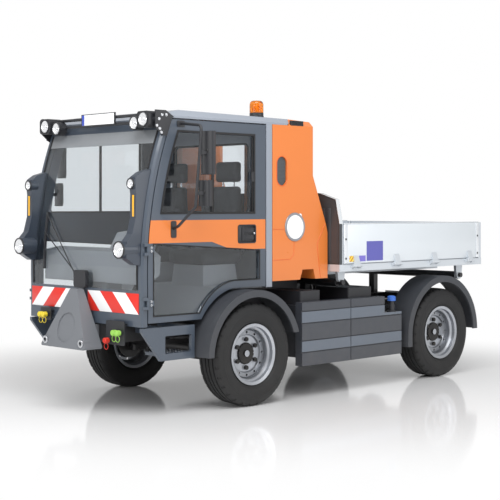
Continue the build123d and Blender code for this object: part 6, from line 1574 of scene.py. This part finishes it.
class TRUCK_OT_cab_inside(bpy.types.Operator):
    """Horn pad of the steering wheel and the display on the dashboard"""

    bl_idname = "truck.cab_inside"
    bl_label = "Cab inside"

    def execute(self, context):
        lean = math.radians(32)
        way = Vector((-math.sin(lean), 0, math.cos(lean)))
        profile = ((0.0, 0.016), (0.028, 0.014), (0.043, 0.008), (0.047, 0.002), (0.047, 0.0), (0.0, 0.0))
        middle = Vector(at(0.470, SEAT_SIDE, 1.235)) + way * 0.002
        turned("horn_pad", profile, middle, way, "black_plastic", 40)
        screen = block("display", at(0.664, 0.215, 1.170), at(0.676, 0.385, 1.246))
        press_in(screen, lambda middle, normal: normal.x < -0.9, 0.006, -0.003)
        dress(soften(screen, 0.002, 2), "chassis", "screen_black")
        return {"FINISHED"}


class TRUCK_OT_fasteners(bpy.types.Operator):
    """Bolts on the lamp brackets, and steel rings round the coupling's bores"""

    bl_idname = "truck.fasteners"
    bl_label = "Fasteners"

    def execute(self, context):
        profile = (
            (0.0152, 0.0), (0.0152, 0.0045), (0.0265, 0.0045), (0.0285, 0.0025), (0.0285, 0.0), (0.0152, 0.0),
        )
        for name, side in SIDES:
            face = side * (CAB_SIDE + 0.0083)
            heads = [bolt(at(x, face, z), (0, side, 0), 0.009) for x, z in BRACKET_BOLTS]
            dress(join(f"bracket_bolts_{name}", heads), "chassis", "bare_steel")
            turned(f"bore_ring_{name}", profile, at(1.1272, side * 0.207, 0.491), (1, 0, 0), "bare_steel", 40)
        return {"FINISHED"}


class TRUCK_OT_step_treads(bpy.types.Operator):
    """Raised grip lugs on the cab's footsteps"""

    bl_idname = "truck.step_treads"
    bl_label = "Step treads"

    def execute(self, context):
        columns, rows = 9, 5
        pitch_x, pitch_y = 0.026, 0.032
        profile = ((0.0, 0.0035), (0.004, 0.0032), (0.0075, 0.0), (0.0, 0.0))
        for name, side in SIDES:
            lug = lathe("lug", profile, (0, 0, 0), (0, 0, 1), 12)
            lugs = []
            for column in range(columns):
                for row in range(rows):
                    place = at(0.521 + column * pitch_x, side * (0.470 + row * pitch_y), 0.428)
                    lugs.append(copy_of(lug, "lug_copy", place))
            remove(lug)
            dress(smooth(join(f"step_lugs_{name}", lugs), 40), "chassis", "bare_steel")
        return {"FINISHED"}


class TRUCK_OT_fillers(bpy.types.Operator):
    """Filler necks with blue caps on the rear covers"""

    bl_idname = "truck.fillers"
    bl_label = "Fillers"

    def execute(self, context):
        neck = ((0.0, 0.0), (0.040, 0.0), (0.040, 0.006), (0.024, 0.010), (0.022, 0.088), (0.0, 0.088))
        cap = [(0.0, 0.0860), (0.031, 0.0860)]
        for ring in range(4):
            along = 0.088 + ring * 0.0085
            cap += [(0.0345, along), (0.0345, along + 0.0055), (0.0325, along + 0.0070)]
        cap += [(0.030, 0.124), (0.020, 0.128), (0.0, 0.129)]
        for name, side in SIDES:
            foot = at(-1.595, side * 0.735, 0.5842)
            turned(f"filler_neck_{name}", neck, foot, (0, 0, 1), "black_plastic", 40)
            turned(f"filler_cap_{name}", cap, foot, (0, 0, 1), "cap_blue", 40)
        return {"FINISHED"}


class TRUCK_OT_rear_lamps(bpy.types.Operator):
    """Tail lamps with their bar and a blank plate behind the frame"""

    bl_idname = "truck.rear_lamps"
    bl_label = "Tail lamps"

    def execute(self, context):
        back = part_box("chassis_frame")[0].x
        bar_back, half = back - 0.014, 0.640
        low, high = (bar_back, -half, 0.560), (back + 0.0005, half, 0.625)
        fitted("tail_bar", low, high, 0.003, 2, "frame_paint")
        for name, side in SIDES:
            low, high = (back - 0.050, side * 0.400, 0.540), (bar_back + 0.0005, side * half, 0.645)
            fitted(f"tail_lamp_shell_{name}", low, high, 0.006, 3, "black_plastic")
            for kind, near, far, finish in TAIL_LENSES:
                low, high = (back - 0.0555, side * near, 0.549), (back - 0.0495, side * far, 0.636)
                fitted(f"tail_{kind}_{name}", low, high, 0.0028, 3, finish)
        low, high = (back - 0.0180, -0.260, 0.545), (bar_back + 0.0002, 0.260, 0.655)
        fitted("rear_plate", low, high, 0.0012, 2, "plate_white")
        return {"FINISHED"}


class TRUCK_PT_panel(bpy.types.Panel):
    """Lists the truck's pieces and settings"""

    bl_label = "Compact utility truck"
    bl_idname = "TRUCK_PT_panel"
    bl_space_type = "VIEW_3D"
    bl_region_type = "UI"
    bl_category = "Truck"

    def draw(self, context):
        for group in (context.scene.truck_colours, context.scene.truck_sizes):
            box = self.layout.box()
            for key in group.__annotations__:
                box.prop(group, key)
        for operator in OPERATORS:
            self.layout.operator(operator.bl_idname)


OPERATORS = (
    TRUCK_OT_finishes,
    TRUCK_OT_stage,
    TRUCK_OT_front_boards,
    TRUCK_OT_tyres,
    TRUCK_OT_lamps,
    TRUCK_OT_beacon,
    TRUCK_OT_number_plate,
    TRUCK_OT_window_trim,
    TRUCK_OT_door_furniture,
    TRUCK_OT_tower_trim,
    TRUCK_OT_bed_trim,
    TRUCK_OT_headboard_panel,
    TRUCK_OT_nose_caps,
    TRUCK_OT_seat_pads,
    TRUCK_OT_cab_inside,
    TRUCK_OT_fasteners,
    TRUCK_OT_step_treads,
    TRUCK_OT_fillers,
    TRUCK_OT_rear_lamps,
)
CLASSES = (PaintColours, TruckSizes, *OPERATORS, TRUCK_PT_panel)


def register():
    for item in CLASSES:
        bpy.utils.register_class(item)
    bpy.types.Scene.truck_colours = bpy.props.PointerProperty(type=PaintColours)
    bpy.types.Scene.truck_sizes = bpy.props.PointerProperty(type=TruckSizes)


def unregister():
    del bpy.types.Scene.truck_sizes
    del bpy.types.Scene.truck_colours
    for item in reversed(CLASSES):
        bpy.utils.unregister_class(item)


def main():
    register()
    bpy.ops.truck.finishes()
    bpy.ops.truck.stage()
    bpy.ops.truck.front_boards()
    bpy.ops.truck.tyres()
    bpy.ops.truck.lamps()
    bpy.ops.truck.beacon()
    bpy.ops.truck.number_plate()
    bpy.ops.truck.window_trim()
    bpy.ops.truck.door_furniture()
    bpy.ops.truck.tower_trim()
    bpy.ops.truck.bed_trim()
    bpy.ops.truck.headboard_panel()
    bpy.ops.truck.nose_caps()
    bpy.ops.truck.seat_pads()
    bpy.ops.truck.cab_inside()
    bpy.ops.truck.fasteners()
    bpy.ops.truck.step_treads()
    bpy.ops.truck.fillers()
    bpy.ops.truck.rear_lamps()


if __name__ == "__main__":
    main()
